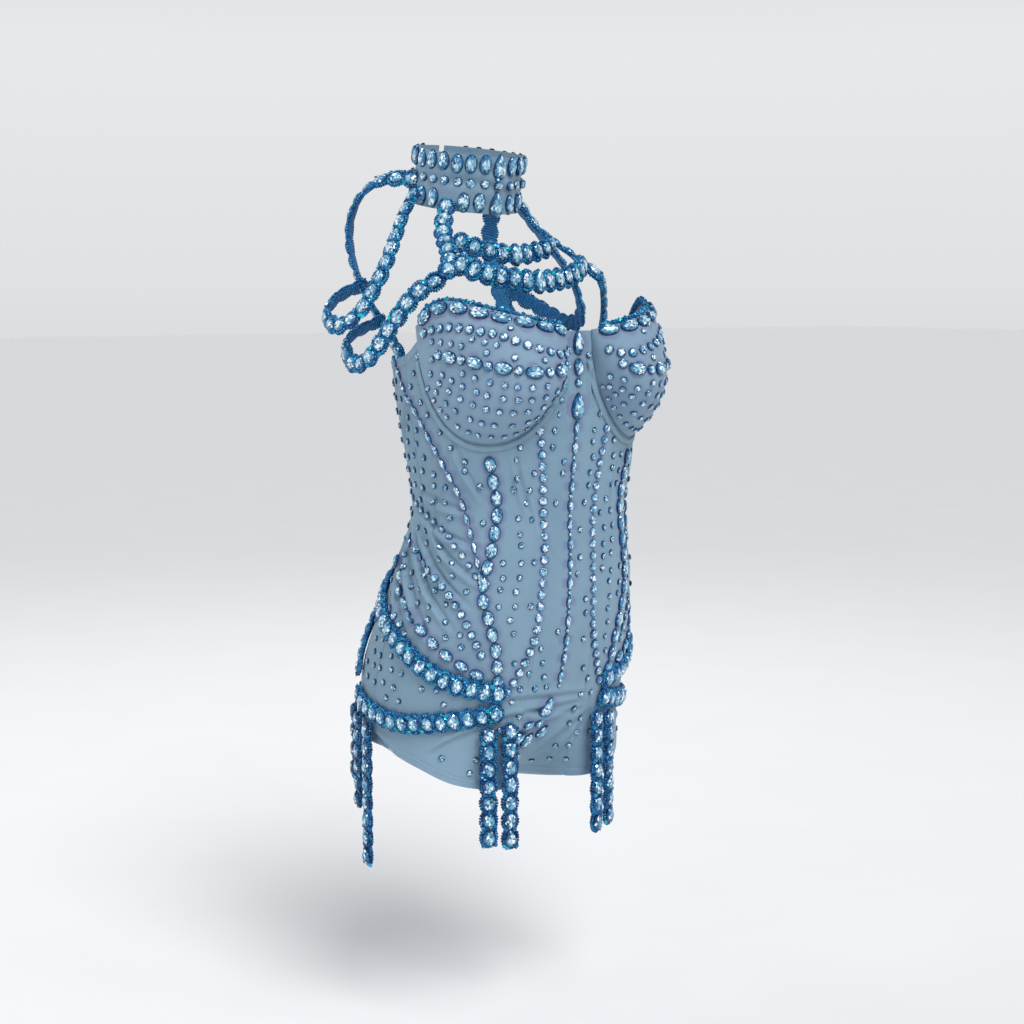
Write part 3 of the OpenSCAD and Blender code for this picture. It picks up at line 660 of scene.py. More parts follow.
def braid(parts, route, places, w, l, lengthwise, wide=BRAID_W, pitch=None, hinged=False, deep=0.0):
    """The braid under a row of stones: a scalloped ribbon, beads round each stone, sequins between.

    A hinged braid keeps its beads clear of the chain that it hangs from, and deep darkens it.
    """
    pitch = pitch or (places[1] - places[0] if len(places) > 1 else l)
    rim, side = (l / 2, w / 2) if lengthwise else (w / 2, l / 2)
    reach = rim + 3.2
    d = np.arange(0, route.length, 0.6)
    p, t, n = route.at(d)
    s = np.cross(t, n)
    near = np.min(np.abs(d[:, None] - np.asarray(places)[None]), axis=1)
    lobe = 2 * (side + 1.6) * np.sqrt(np.maximum(0, 1 - (near / reach) ** 2))
    plait = 0.4 * np.sin(d / 2.4 * 2 * np.pi)
    to_end = np.clip(np.minimum(d, route.length - d) / 5, 0.02, 1)
    rounded = np.sqrt(1 - (1 - to_end) ** 2)
    tube(parts, p, s, n, (np.maximum(lobe, 0.55 * wide) + plait) * rounded,
         (BRAID_T - 0.5 + plait) * rounded**0.5, sides=12, tint=0.4, weave=0.4)
    top = BRAID_T / 2
    for k, (p0, t0, n0) in enumerate(zip(*route.at(places))):
        s0 = np.cross(t0, n0)
        for ring, lifted, tints in ((1.1, 0.5, (0.2, 0.85)), (2.5, -0.7, (0.1, 0.65))):
            count = int(np.pi * (rim + side + 2 * ring) / 2.55)
            a = np.arange(count) / count * 2 * np.pi + rng.random() * 0.3
            along, across = np.cos(a) * (rim + ring), np.sin(a) * (side + ring)
            ends = ((k == 0) & (along < 0)) | ((k == len(places) - 1) & (along > 0))
            keep = (np.abs(along) < pitch * 0.56) | ends
            if hinged and k == 0:
                keep &= places[0] + along > 3.6
            q = p0 + along[:, None] * t0 + across[:, None] * s0 + n0 * (top + lifted)
            q = (q + rng.normal(0, 0.13, (count, 3)))[keep]
            stamp(parts, BEAD, q, *axes_at(len(q), t0, s0, n0), rng.uniform(2.65, 3.1, len(q)),
                  np.maximum(0.02, rng.uniform(*tints, len(q)) - deep), 0.9)
        # Sequins fan out on both sides of the gap to the next stone
        for sign in (-1, 1):
            away = rng.uniform(0.32, 0.52, SEQUINS) * pitch
            off = sign * (side * 0.5 + rng.uniform(0.3, 3.6, SEQUINS))
            tilt = rng.uniform(-0.5, 0.5, SEQUINS)
            nn = unit(n0 + sign * s0 * rng.uniform(0.1, 0.7, SEQUINS)[:, None] + t0 * tilt[:, None])
            ss = unit(np.cross(nn, t0 + 0.2 * n0))
            lift = (top + rng.uniform(0.3, 1.8, SEQUINS))[:, None]
            q = p0 + t0 * away[:, None] + s0 * off[:, None] + n0 * lift
            stamp(parts, SEQUIN, q, ss, np.cross(nn, ss), nn, rng.uniform(3.8, 5.2, SEQUINS),
                  rng.choice(SEQUIN_TINTS, SEQUINS, p=SEQUIN_SHARES) - deep, 1.0)


def axes_at(count, t, s, n):
    return tuple(np.broadcast_to(v, (count, 3)) for v in (t, s, n))


# ---------- fabric panels ----------
def rounded_steps(n, share=1.0):
    """Steps from 0 to 1, closer together at both ends, where seams and hems need them."""
    t = np.linspace(0, 1, n)
    return mix(t, (1 - np.cos(np.pi * t)) / 2, share)


panels = []


def panel(name, angle, height, nodes, flat_size, area):
    """One pattern piece from its grids of angles and heights."""
    outer, inner = skin(angle, height), skin(angle, height, -FABRIC_T)
    columns, rows = (np.linalg.norm(np.diff(outer, axis=i), axis=2) for i in (0, 1))
    across = np.concatenate([np.zeros((1, angle.shape[1])), np.cumsum(columns, 0)])
    up = np.concatenate([np.zeros((angle.shape[0], 1)), np.cumsum(rows, 1)], 1)
    parts = Parts()
    closed_sheet(parts, outer, inner, np.stack([across, up, up * 0], -1))
    ob = parts.build(name, FABRIC, "bodysuit_fabric")
    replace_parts(ob, *nodes)
    panels.append(ob)


ROWS = rounded_steps(280, 0.75)
SEAM_TOP_A = 17.0  # where the princess seam meets the underwire
strip_rows = np.concatenate([
    mix(hem_z(0.0), wire_z(SEAM_TOP_A), ROWS[:-1]), mix(wire_z(SEAM_TOP_A), GORE_TOP, rounded_steps(60)),
])
u_center = np.concatenate([-1 + rounded_steps(25), rounded_steps(25)[1:]])
center_a = u_center[:, None] * princess_a(strip_rows)[None]
panel("front_center_cloth", center_a, np.broadcast_to(strip_rows, center_a.shape),
      ["front_center_panel"], (0.075, 0.46), 0.0303)


def side_grid(sign):
    """The front side panel: from the princess seam to the side seam, up to the cup and the top edge."""
    share = rounded_steps(140, 0.75)[:, None]
    bottom = mix(CROTCH_A, SIDE_SEAM, share)
    top = np.interp(share, np.linspace(0, 1, 9), [SEAM_TOP_A, 25, 34, 44, 54, 64, 74, 82, SIDE_SEAM])
    z_top = np.where(share == 0, wire_z(SEAM_TOP_A), top_z(top))
    z = mix(hem_z(bottom), z_top, ROWS[None])
    a = mix(mix(princess_a(z), SIDE_SEAM, share), top, ROWS[None] ** 3)
    a = np.where(share == 0, princess_a(z), np.where(share == 1, SIDE_SEAM, a))
    return sign * a, z


def back_grid(sign):
    """A back panel: from the side seam to the zip."""
    share = rounded_steps(150, 0.75)[:, None]
    z = mix(hem_z(mix(SIDE_SEAM, 180, share)), top_z(mix(SIDE_SEAM, 180, share)), ROWS[None])
    back = 180 - 2.2 * np.clip((z - 6) / 8, 0, 1)
    return sign * mix(SIDE_SEAM, back, share), z


SIDES = {"right": -1, "left": 1}
for side, sign in SIDES.items():
    panel(f"front_side_cloth_{side}", *side_grid(sign), [f"front_side_panel_{side}"], (0.175, 0.45), 0.052)
    panel(f"back_cloth_{side}", *back_grid(sign), [f"back_panel_{side}"], (0.20, 0.46), 0.0705)


def gusset_point(u, v, out):
    """A point on the crotch gusset: u across it, v from its front edge to its back edge."""
    hem = hem_z(0.0)
    f = body(u * CROTCH_A, hem) + out * normal(u * CROTCH_A, hem)
    b = body(180 - u * 13, hem) + out * normal(180 - u * 13, hem)
    p = mix(f, b, np.asarray(v)[..., None])
    arch = np.sin(np.pi * np.asarray(v))
    return np.stack([p[..., 0] * (1 - 0.12 * arch), p[..., 1], p[..., 2] - (10 + out) * arch], -1)


gu, gv = grid(np.linspace(-1, 1, 31), mix(0.01, 0.99, rounded_steps(90)))
gusset = Parts()
closed_sheet(gusset, gusset_point(gu, gv, 0.0), gusset_point(gu, gv, -FABRIC_T),
             np.stack([gu * 32, gv * 130, gu * 0], -1))
gusset = gusset.build("gusset_cloth", FABRIC, "bodysuit_fabric")
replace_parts(gusset, "gusset")

# ---------- cups ----------
CUP_SEAM = 0.47  # where the vertical seam runs, across the cup
PRESSURE, SWELL_FRAMES, SWELL_CAP = 4.0, 20, 0.005


def swell(ob, fixed):
    """Inflates a closed shell as cloth, keeping its edge, and moves no point more than the cap."""
    start = np.array([v.co for v in ob.data.vertices])
    group = ob.vertex_groups.new(name="edge")
    group.add([int(i) for i in np.flatnonzero(fixed)], 1.0, "REPLACE")
    mod = ob.modifiers.new("cloth", "CLOTH")
    mod.settings.vertex_group_mass = "edge"
    mod.settings.use_pressure = True
    mod.settings.uniform_pressure_force = PRESSURE
    mod.settings.tension_stiffness = mod.settings.compression_stiffness = 25
    mod.settings.bending_stiffness = 2.0
    mod.settings.effector_weights.gravity = 0
    for f in range(SWELL_FRAMES):
        bpy.context.scene.frame_set(f + 1)
    shape = ob.evaluated_get(bpy.context.evaluated_depsgraph_get()).to_mesh()
    end = np.array([v.co for v in shape.vertices])
    ob.modifiers.clear()
    ob.vertex_groups.clear()
    bpy.context.scene.frame_set(1)
    move = end - start
    size = np.linalg.norm(move, axis=1, keepdims=True)
    move = move * np.minimum(1, SWELL_CAP / np.maximum(size, 1e-9))
    ob.data.vertices.foreach_set("co", (start + move).ravel())
    ob.data.update()


def cup(side, sign):
    """A cup's cloth: swollen, rounded, then its seam and darts pressed in."""
    m, n = 56, 44
    us, vs = grid(rounded_steps(m), np.linspace(0, 1, n))
    flip = np.array([sign, 1, 1])
    outer, inner = cup_point(us, vs, 0.9) * flip, cup_point(us, vs, 0.0) * flip
    parts = Parts()
    closed_sheet(parts, outer, inner, np.stack([us * 150, vs * 120, us * 0], -1))
    ob = parts.build(f"cup_cloth_{side}", CUP_CLOTH, "cup_fabric", crease=60)
    inside = np.concatenate([np.zeros(m * n), np.ones(m * n)])
    edge = np.tile(((us == 0) | (us == 1) | (vs == 0) | (vs == 1)).ravel(), 2)
    swell(ob, edge | (inside > 0))
    both_u, both_v = np.tile(us.ravel(), 2), np.tile(vs.ravel(), 2)
    for key, values in (("cup_u", both_u), ("cup_v", both_v), ("inside", inside)):
        ob.data.attributes.new(key, "FLOAT", "POINT").data.foreach_set("value", values)
    mod = ob.modifiers.new("rounder", "SUBSURF")
    mod.levels = mod.render_levels = 1
    mesh = bpy.data.meshes.new_from_object(ob.evaluated_get(bpy.context.evaluated_depsgraph_get()))
    ob.modifiers.clear()
    ob.data = mesh
    keys = ("cup_u", "cup_v", "inside")
    u, v, hidden = (np.array([d.value for d in mesh.attributes[k].data]) for k in keys)
    co = np.array([p.co for p in mesh.vertices])
    nn = np.array([p.normal for p in mesh.vertices])
    gap = (u - CUP_SEAM - 0.03 * np.sin(np.pi * v)) * 150
    press = 0.4 * bell(gap, 5) - 1.0 * bell(gap, 1.6)
    low = (1 - np.abs(gap) / 40).clip(0, 1) * (v < 0.35)
    press = press - 0.35 * low * np.sin(gap / 3.2) * np.sin(np.pi * v / 0.35).clip(0, 1)
    mesh.vertices.foreach_set("co", (co + nn * (press * (hidden < 0.5) * MM)[:, None]).ravel())
    mesh.update()
    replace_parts(ob, f"cup_{side}")
    return ob


def land(tree, p, n):
    """The point where a line dropped on the cup along -n meets it, with the cup's own normal."""
    hit, hn, _, _ = tree.ray_cast(Vector((p + n * 25) * MM), Vector(-n), 0.08)
    if hit is None:
        return p, n
    hn = np.array(hn)
    return np.array(hit) / MM, unit(hn if hn @ n > 0 else -hn)


cup_objects = {side: cup(side, sign) for side, sign in SIDES.items()}
depsgraph = bpy.context.evaluated_depsgraph_get()
trees = {side: BVHTree.FromObject(ob, depsgraph) for side, ob in cup_objects.items()}


def cup_place(side, u, v):
    """Point, normal and direction towards the armpit on the finished cup."""
    flip = np.array([SIDES[side], 1, 1])
    p = cup_point(u, v, 1.0)
    du = cup_point(min(u + 0.02, 1), v) - cup_point(max(u - 0.02, 0), v)
    dv = cup_point(u, min(v + 0.02, 1)) - cup_point(u, max(v - 0.02, 0))
    n = unit(np.cross(du, dv)) * flip
    p, n = land(trees[side], p * flip, n)
    return p, n, unit(du * flip)


def cup_route(side, u0, u1, v, out=0.0):
    """A route across the cup; v is a height or a function of u."""
    us = np.linspace(u0, u1, 60)
    rows = [cup_place(side, u, v(u) if callable(v) else v) for u in us]
    n = np.array([r[1] for r in rows])
    for _ in range(6):
        n[1:-1] = unit(n[:-2] + n[1:-1] + n[2:])
    return Route(np.array([r[0] for r in rows]) + n * out, n)


# ---------- underwire casings, elastics and stitching ----------
def line_piece(name, look, slot, replaced, routes, wide, thick, flatness=0.8):
    """A band of rounded section along each route."""
    parts = Parts()
    for r in routes:
        p, t, n = r.at(np.arange(0, r.length, 1.2))
        tube(parts, p, np.cross(t, n), n, wide, thick, sides=12, flatness=flatness)
    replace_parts(parts.build(name, look, slot), replaced)


def wire_route(sign):
    turn = 0.985 * np.sin(np.linspace(-np.pi / 2, np.pi / 2, 120))
    a = WIRE_MID + (WIRE_HALF + 2.4) * turn
    z = WIRE_TOP - (WIRE_DROP + 5.5) * np.sqrt(1 - np.abs(turn) ** 2.2)
    return plain_route(sign * a, z, 0.9)


stitches = Parts()


def stitch(route, pitch=3.4, length=2.3, lift=0.1, offset=0.0):
    """Thread stitches along a route, as short rounded dashes."""
    for d in np.arange(2, route.length - 2, pitch):
        p, t, n = route.at(np.array([d - length / 2, d, d + length / 2]))
        s = np.cross(t, n)
        arch = p + n * (lift + np.array([[-0.1], [0.12], [-0.1]])) + s * offset
        tube(stitches, arch, s, n, 0.5, 0.4, sides=6, flatness=1)


def hem_route(sign, up, out=0.0):
    a = np.linspace(14, 179, 400)
    return plain_route(sign * a, hem_z(a) + up, out)


def top_route(sign, down, out=0.0, last=177):
    a = np.linspace(84, last, 240)
    return plain_route(sign * a, top_z(a) - down, out)


for side, sign in SIDES.items():
    wire = wire_route(sign)
    line_piece(f"underwire_casing_{side}", FABRIC, "bodysuit_fabric", f"underwire_{side}", [wire],
               6.2, 2.8, 1.0)
    for offset in (-2.4, 2.4):
        stitch(wire, lift=1.05, offset=offset)
    stitch(hem_route(sign, HEM_DEPTH))
    stitch(hem_route(sign, HEM_DEPTH - 3))
    stitch(top_route(sign, HEM_DEPTH))
    # The leg elastic runs on under the gusset
    under_v = np.linspace(0.97, 0.03, 40)
    edge = hem_route(sign, 5, -FABRIC_T - 1.2)
    under = gusset_point(0.86, under_v, -FABRIC_T - 1.2) * [sign, 1, 1]
    loop_n = np.concatenate([edge.n, unit(np.broadcast_to([0.35 * sign, 0, -1.0], (40, 3)))])
    line_piece(f"leg_elastic_{side}_band", ELASTIC, "elastic", f"leg_elastic_{side}",
               [Route(np.concatenate([edge.p, under]), loop_n)], 8, 1.1)
line_piece("back_edge_elastic_band", ELASTIC, "elastic", "back_edge_elastic",
           [top_route(s, 6, -FABRIC_T - 1.1, 176) for s in (-1, 1)], 8, 1.0)

# ---------- collar ----------
COLLAR_R, COLLAR_H, COLLAR_T, COLLAR_TILT, COLLAR_GAP = 54, 58, 2.4, 10, 4
collar_turn = np.array(Matrix.Rotation(math.radians(COLLAR_TILT), 3, "X"))


def collar_point(angle, h, out=0.0):
    """A point on the collar: angle from its front, height from its middle."""
    a = np.radians(np.asarray(angle, float))
    h = np.asarray(h, float)
    wrinkle = 1.5 * np.sin(h / 3.4 + 1.4 * np.sin(angle / 19) + angle / 33) * bell(h - 3, 10)
    wrinkle = wrinkle + 0.5 * np.sin(angle / 7.3 + h / 9) * np.sin(h / 12 + angle / 31)
    edge = 0.5 * (1 / (1 + np.exp((COLLAR_H / 2 - np.abs(h) - 7) * 2)))
    r = COLLAR_R + COLLAR_T + out + wrinkle + edge
    p = np.stack(np.broadcast_arrays(r * np.sin(a), -r * np.cos(a), h), -1)
    return p @ collar_turn.T + [0, NECK_Y, NECK_Z]


def collar_normal(angle):
    a = np.radians(np.asarray(angle, float))
    return np.stack([np.sin(a), -np.cos(a), a * 0], -1) @ collar_turn.T


ca, ch = grid(mix(-180 + COLLAR_GAP, 180 - COLLAR_GAP, np.linspace(0, 1, 300)),
              COLLAR_H * (rounded_steps(50) - 0.5))
collar = Parts()
closed_sheet(collar, collar_point(ca, ch), collar_point(ca, ch, -COLLAR_T + 0.3),
             np.stack([ca, ch, ca * 0], -1))
collar = collar.build("collar_cloth", COLLAR_CLOTH, "collar_fabric")
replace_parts(collar, "collar_band")
collar_up = np.array([0, 0, 1]) @ collar_turn.T
around = np.linspace(-172, 172, 300)
for h in (-COLLAR_H / 2 + 6.5, COLLAR_H / 2 - 6.5):
    stitch(Route(collar_point(around, np.full(300, h)), collar_normal(around)))

stones = Stones()
for h, cut, w, l, tall, pitch, first in (
    (20.5, "oval", 12.5, 19.5, 4.5, 15.0, 16.5), (1.0, "round", 9.8, 9.8, 3.2, 14.6, 15.0),
    (-18.5, "oval", 12.8, 20, 4.5, 17.2, 18.5),
):
    for angle in np.arange(first, 165, pitch):
        for sign in (-1, 1):
            a = sign * angle + rng.normal(0, 0.6)
            if h < 10 and 91 < angle < 111 or h < 0 and 48 < angle < 65:
                continue  # a strap is sewn on here
            p = collar_point(a, h + rng.normal(0, 0.5))
            stones.set(cut, p, collar_normal(a), collar_up, w, l, tall)
for a, h, cut, w, l, tall in (
    (0.0, 19.5, "drop", 15, 26, 5.5), (0.0, 0.5, "round", 9, 9, 5.5), (0.0, -19.5, "drop", 16, 27, 5.5),
    (-2.5, 7, "round", 4.5, 4.5, 3),
):
    stones.set(cut, collar_point(a, h), collar_normal(a), collar_up, w, l, tall)
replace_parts(stones.build("collar_jewels"), "collar_stones")

# ---------- neck and shoulder cage, and hip chains ----------
# Points in space for the cage, and angles with heights on the cloth for the hips
SHOULDER = [
    (53, 110, 330), (64, 128, 332), (77, 150, 328), (86, 172, 312), (90, 186, 284), (89, 182, 248),
    (85, 154, 204), (80, 118, 164), (79, 99, 142), (79, 95.5, 128),
]
OUTER = [
    (59, 104, 318), (78, 98, 292), (98, 86, 262), (119, 76, 230), (138, 82, 196), (147, 100, 181),
    (148, 124, 180), (141, 148, 191), (117, 166, 208), (87, 164, 221),
]
INNER = [
    (45, 66, 306), (61, 50, 276), (80, 8, 246), (97, -4, 229), (116, 14, 212), (131, 34, 182),
    (141, 58, 150), (143, 88, 140), (137, 116, 156), (118, 130, 170), (83, 134, 184),
]
UPPER_SWAG = [
    (-61, 30, 266), (-46, 20, 259), (-24, 13, 254), (0, 10, 251), (24, 13, 254), (46, 20, 259),
    (61, 30, 266),
]
LOWER_SWAG = [
    (-80, 0, 243), (-58, -16, 233), (-30, -27, 227), (0, -31, 224), (30, -27, 227), (58, -16, 233),
    (80, 0, 243),
]
UPPER_HIP = [
    (23, -185), (34, -181), (48, -173), (62, -160), (76, -144), (92, -125), (108, -107), (124, -90),
    (140, -75), (156, -61), (172, -48),
]
LOWER_HIP = [
    (23, -204), (33, -209), (45, -213), (58, -217), (72, -219), (86, -216), (98, -210), (110, -201),
]
SIDE_HIP = [
    (172, -20), (158, -37), (147, -58), (138, -84), (131, -112), (124, -142), (117, -168), (112, -182),
]
HIP_OUT = 1 + BRAID_T / 2
STONE_H = 4.5
chain_stones = Stones()


def chain(name, node_name, route, pitch, w, l, lengthwise, middle=None):
    """A sequin braid with its row of stones; middle is the cut and size of a bigger centre stone."""
    places = spread(route.length, pitch, 7, odd=bool(middle))
    parts = Parts()
    braid(parts, route, places, w, l, lengthwise)
    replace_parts(parts.build(name, BRAID, "sequin_braid"), node_name)
    centre = len(places) // 2 if middle else -1
    for i, d in enumerate(places):
        jig = rng.normal(0, 0.5)
        if i == centre:
            chain_stones.row(route, [route.length / 2], *middle, STONE_H + 1.5, False, BRAID_T / 2)
        else:
            grow = 1 + rng.normal(0, 0.04)
            chain_stones.row(route, [d + jig], "oval", w * grow, l * grow, STONE_H, lengthwise, BRAID_T / 2)


for side, sign in SIDES.items():
    for key, route in (("shoulder_strap", SHOULDER), ("outer_strap", OUTER), ("inner_strap", INNER)):
        chain(f"{key}_{side}_braid", f"{key}_{side}", cage_route(route, sign), 17.2, 13.4, 16.6, True)
    for key, route, l in (("upper", UPPER_HIP, 17), ("lower", LOWER_HIP, 16), ("side", SIDE_HIP, 16.5)):
        hip = skin_route(route, HIP_OUT, sign)
        chain(f"{key}_hip_chain_{side}_braid", f"{key}_hip_chain_{side}", hip, 14.0, 12.4, l, False)
for key, route, w, l, middle in (
    ("upper", UPPER_SWAG, 12.4, 15.5, ("oval", 15, 23)),
    ("lower", LOWER_SWAG, 12.6, 17.5, ("drop", 14.5, 25)),
):
    name = f"chest_swag_{key}"
    chain(f"{name}_braid", name, cage_route(route), 14.4, w, l, False, middle)
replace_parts(chain_stones.build("chain_jewels"), "chain_stones")

# ---------- cup stones ----------
HIGH_ROW = (0, 0.25, 0.55, 1), (0.6, 0.73, 0.81, 0.77)  # across the cup, and how high up it
cup_jewels = Stones()
for side, sign in SIDES.items():
    # The braid stands just behind the cup's top edge
    us = np.linspace(0.03, 0.97, 60)
    face = unit(np.stack([0.35 * us, us * 0 - 1, us * 0 + 0.25], -1))
    edge = Route((cup_point(us, 0.97, 0.0) + [0, 0.8, 2]) * [sign, 1, 1], face * [sign, 1, 1])
    parts = Parts()
    braid(parts, edge, spread(edge.length, 7), 3.2, 3.6, True, wide=9)
    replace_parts(parts.build(f"cup_braid_{side}_trim", BRAID, "sequin_braid"), f"cup_braid_{side}")
    top = cup_route(side, 0.03, 0.97, 0.945, 0.2)
    cup_jewels.row(top, spread(top.length, 22.5, 9), "oval", 12, 20, STONE_H, True)
    high = cup_route(side, 0.03, 0.98, lambda u: np.interp(u, *HIGH_ROW), 0.1)
    cup_jewels.row(high, spread(high.length, 12.2), "round", 9.2, 9.2, 2.9, True)
    low = cup_route(side, 0.08, 0.92, lambda u: 0.565 - 0.07 * (2 * u - 1) ** 2, 0.1)
    places = spread(low.length, 15.4, odd=True)
    cup_jewels.row(low, places[::2], "round", 9.8, 9.8, 3.2, True)
    cup_jewels.row(low, places[1::2], "oval", 12.5, 18, STONE_H, True)
    # Smaller rounds fill the cloth between the rows
    for v, pitch, size in (
        (0.06, 12.5, 5.6), (0.15, 14, 6.4), (0.25, 14.5, 6.8), (0.345, 14.5, 6.8), (0.44, 14.5, 6.6),
        (0.655, 13.5, 6.6), (0.73, 14, 6.4), (0.875, 12.5, 6.2),
    ):
        line = cup_route(side, 0.05, 0.95, v, 0.1)
        even = spread(line.length, pitch)
        for d in even + rng.normal(0, 1.2, len(even)):
            p, t, n = (x[0] for x in line.at([np.clip(d, 3, line.length - 3)]))
            near = min(np.hypot(np.hypot(p[0] - x, p[1] - y), p[2] - z) - r for x, y, z, r in placed)
            if near > size / 2 + 1.2:
                cup_jewels.set("round", p, n, t, size, size, 2.1)
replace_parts(cup_jewels.build("cup_jewels"), "cup_stones")

# ---------- bodice stones ----------
UP = np.array([0, 0, 1.0])
bodice = Stones()


def on_skin(a, z):
    """Where a small stone rests, with the cloth's own normal."""
    return skin(a, z, 0.15), cloth_normal(a, z)


def on_top(a, z, w, l):
    """Where a big stone rests: over the folds under it, not sunk between them."""
    reach = np.array([-0.3, 0, 0.3])
    across, up = grid(reach * w, reach * l)
    rise = mix(fold(a, z), np.max(fold(a + across / ARC, z + up)), 0.75)
    return body(a, z) + (rise + 0.1) * normal(a, z), normal(a, z)


for z, cut, w, l, h in (
    (164, "drop", 12, 23, 5), (140, "oval", 11, 17, 4.5), (125, "round", 8.5, 8.5, 3),
    (102, "drop", 15, 26, 5.5),
):
    bodice.set(cut, *on_top(0.0, z, w, l), UP, w, l, h)
for z in np.arange(80, -190, -19.5):
    bodice.set("navette", *on_top(0.0, z, 6.5, 14.5), UP, 6.5, 14.5, 3.4)
    bodice.set("round", *on_skin(0.0, z - 9.8), UP, 4.5, 4.5, 2.0)
# A leaning drop ends the centre line, and smaller ones fan out below it: angle, height, lean, size
DROPS = [
    (-3, -206, 19, 14, 24), (-14, -236, 60, 12, 21), (-9, -240, 41, 11, 19), (-2.5, -233, 38, 10, 17),
    (-10, -221.5, 60, 7.5, 12), (-6, -220.5, 45, 5.5, 10),
]
for a, z, lean, w, l in DROPS:
    tip = math.radians(lean)
    bodice.set("drop", *on_top(a, z, w, l), np.array([math.sin(tip), 0, math.cos(tip)]), w, l, 4)

SIDE_FRONT = [(43, 52), (41, 28), (39, 2), (40, -30), (42, -78), (36, -110), (30, -142), (26, -180)]
FAN = [(112, -56), (96, -84), (80, -108), (64, -131), (48, -152), (34, -168)]
FAN_UPPER = [(106, -30), (90, -46), (77, -60), (66, -74), (56, -90), (48, -110), (41, -130), (35, -150)]
FAN_SHORT = [(97, -102), (88, -116), (80, -130), (74, -142)]
ARM_LINE = [(104, 150), (95, 118), (82, 78), (70, 40), (60, 5), (50, -40), (43, -72)]
WAIST_LINE = [(118, 14), (98, 0), (80, -14), (66, -30), (54, -50), (45, -70)]
# This row leaves the princess seam low down and turns out to the hip chains
PRINCESS_ROW = [
    (princess_a(z) + 9.5 * max(0, (-118 - z) / 72) ** 1.6, z) for z in np.linspace(-190, 84, 15)
]
for side, sign in SIDES.items():
    rows = (
        (SIDE_FRONT, 17.8, "oval", 11.5, 16.2, 4.2), (FAN, 17.5, "oval", 10.5, 15, 4),
        (FAN_UPPER, 11.6, "round", 8.6, 8.6, 2.8), (FAN_SHORT, 12, "round", 7.6, 7.6, 2.6),
        (PRINCESS_ROW, 11.8, "round", 9.4, 9.4, 2.9), (ARM_LINE, 15.5, "navette", 5.5, 13.5, 3.0),
        (WAIST_LINE, 12.5, "round", 7, 7, 2.4),
    )
    for route, pitch, cut, w, l, h in rows:
        r = skin_route(route, 0.15, sign, flush=True)
        bodice.row(r, spread(r.length, pitch), cut, w, l, h, True)
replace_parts(bodice.build("bodice_jewels"), "bodice_stones")

# ---------- scattered small stones ----------
HIPS = (UPPER_HIP, LOWER_HIP, SIDE_HIP)
hip_lines = np.concatenate([skin_route(r, 0, s).p for r in HIPS for s in (-1, 1)])
SCATTER_UP, SCATTER_ACROSS, SCATTER_CLEAR = 14.5, 17.0, 2.2
scatter = Stones()
taken = np.array(placed)
fine = np.linspace(-179, 179, 1440)


def share_kept(a, z):
    """How many of the scattered stones stay: fewer low down, above all off the front panel."""
    if z < -190:
        return 0.75 if abs(a) < 24 else 0.3
    return 0.75 if z < -110 else 1.0


def off_cloth(a, z):
    """Whether a stone would be on a cup, an edge or the zip."""
    across = abs(a)
    on_cup = 4 < across < 84 and z > wire_z(across) - 9
    at_edge = z < hem_z(a) + 13 or (across > 80 and z > top_z(across) - 12) or (across < 6 and z > 168)
    return on_cup or at_edge or (across > 170 and z > -4)


for k, z0 in enumerate(np.arange(-284, 178, SCATTER_UP)):
    run = run_along(body(fine, z0))
    across = np.arange(SCATTER_ACROSS / 2 * (k % 2), run[-1], SCATTER_ACROSS)
    angles = np.interp(across + rng.normal(0, 1.4, len(across)), run, fine)
    heights = z0 + rng.normal(0, 1.4, len(across))
    sizes = rng.uniform(5.9, 6.9, len(across))
    chance = rng.random(len(across))
    for a, z, size, luck, p, n in zip(angles, heights, sizes, chance, *on_skin(angles, heights)):
        if luck > share_kept(a, z) or off_cloth(a, z):
            continue
        gap = np.min(np.linalg.norm(taken[:, :3] - p, axis=1) - taken[:, 3])
        if gap < size / 2 + SCATTER_CLEAR or np.min(np.linalg.norm(hip_lines - p, axis=1)) < 13:
            continue
        scatter.set("round", p, n, UP, size, size, 2.0)
scatter.build("scattered_stones", deep=0.13)

# Painted shade: the cloth is darkened close round the bigger stones, more round bigger ones
stone_shade_finder = KDTree(len(taken))
for i, row in enumerate(taken):
    stone_shade_finder.insert(row[:3] * MM, i)
stone_shade_finder.balance()
for ob in panels + list(cup_objects.values()):
    values = np.zeros(len(ob.data.vertices))
    for i, vertex in enumerate(ob.data.vertices):
        _, j, distance = stone_shade_finder.find(vertex.co)
        values[i] = bell(max(0, distance / MM - taken[j, 3]), 1.9) * min(1, taken[j, 3] / 4)
    ob.data.attributes.new("painted_stone_shade", "FLOAT", "POINT").data.foreach_set("value", values * 0.75)

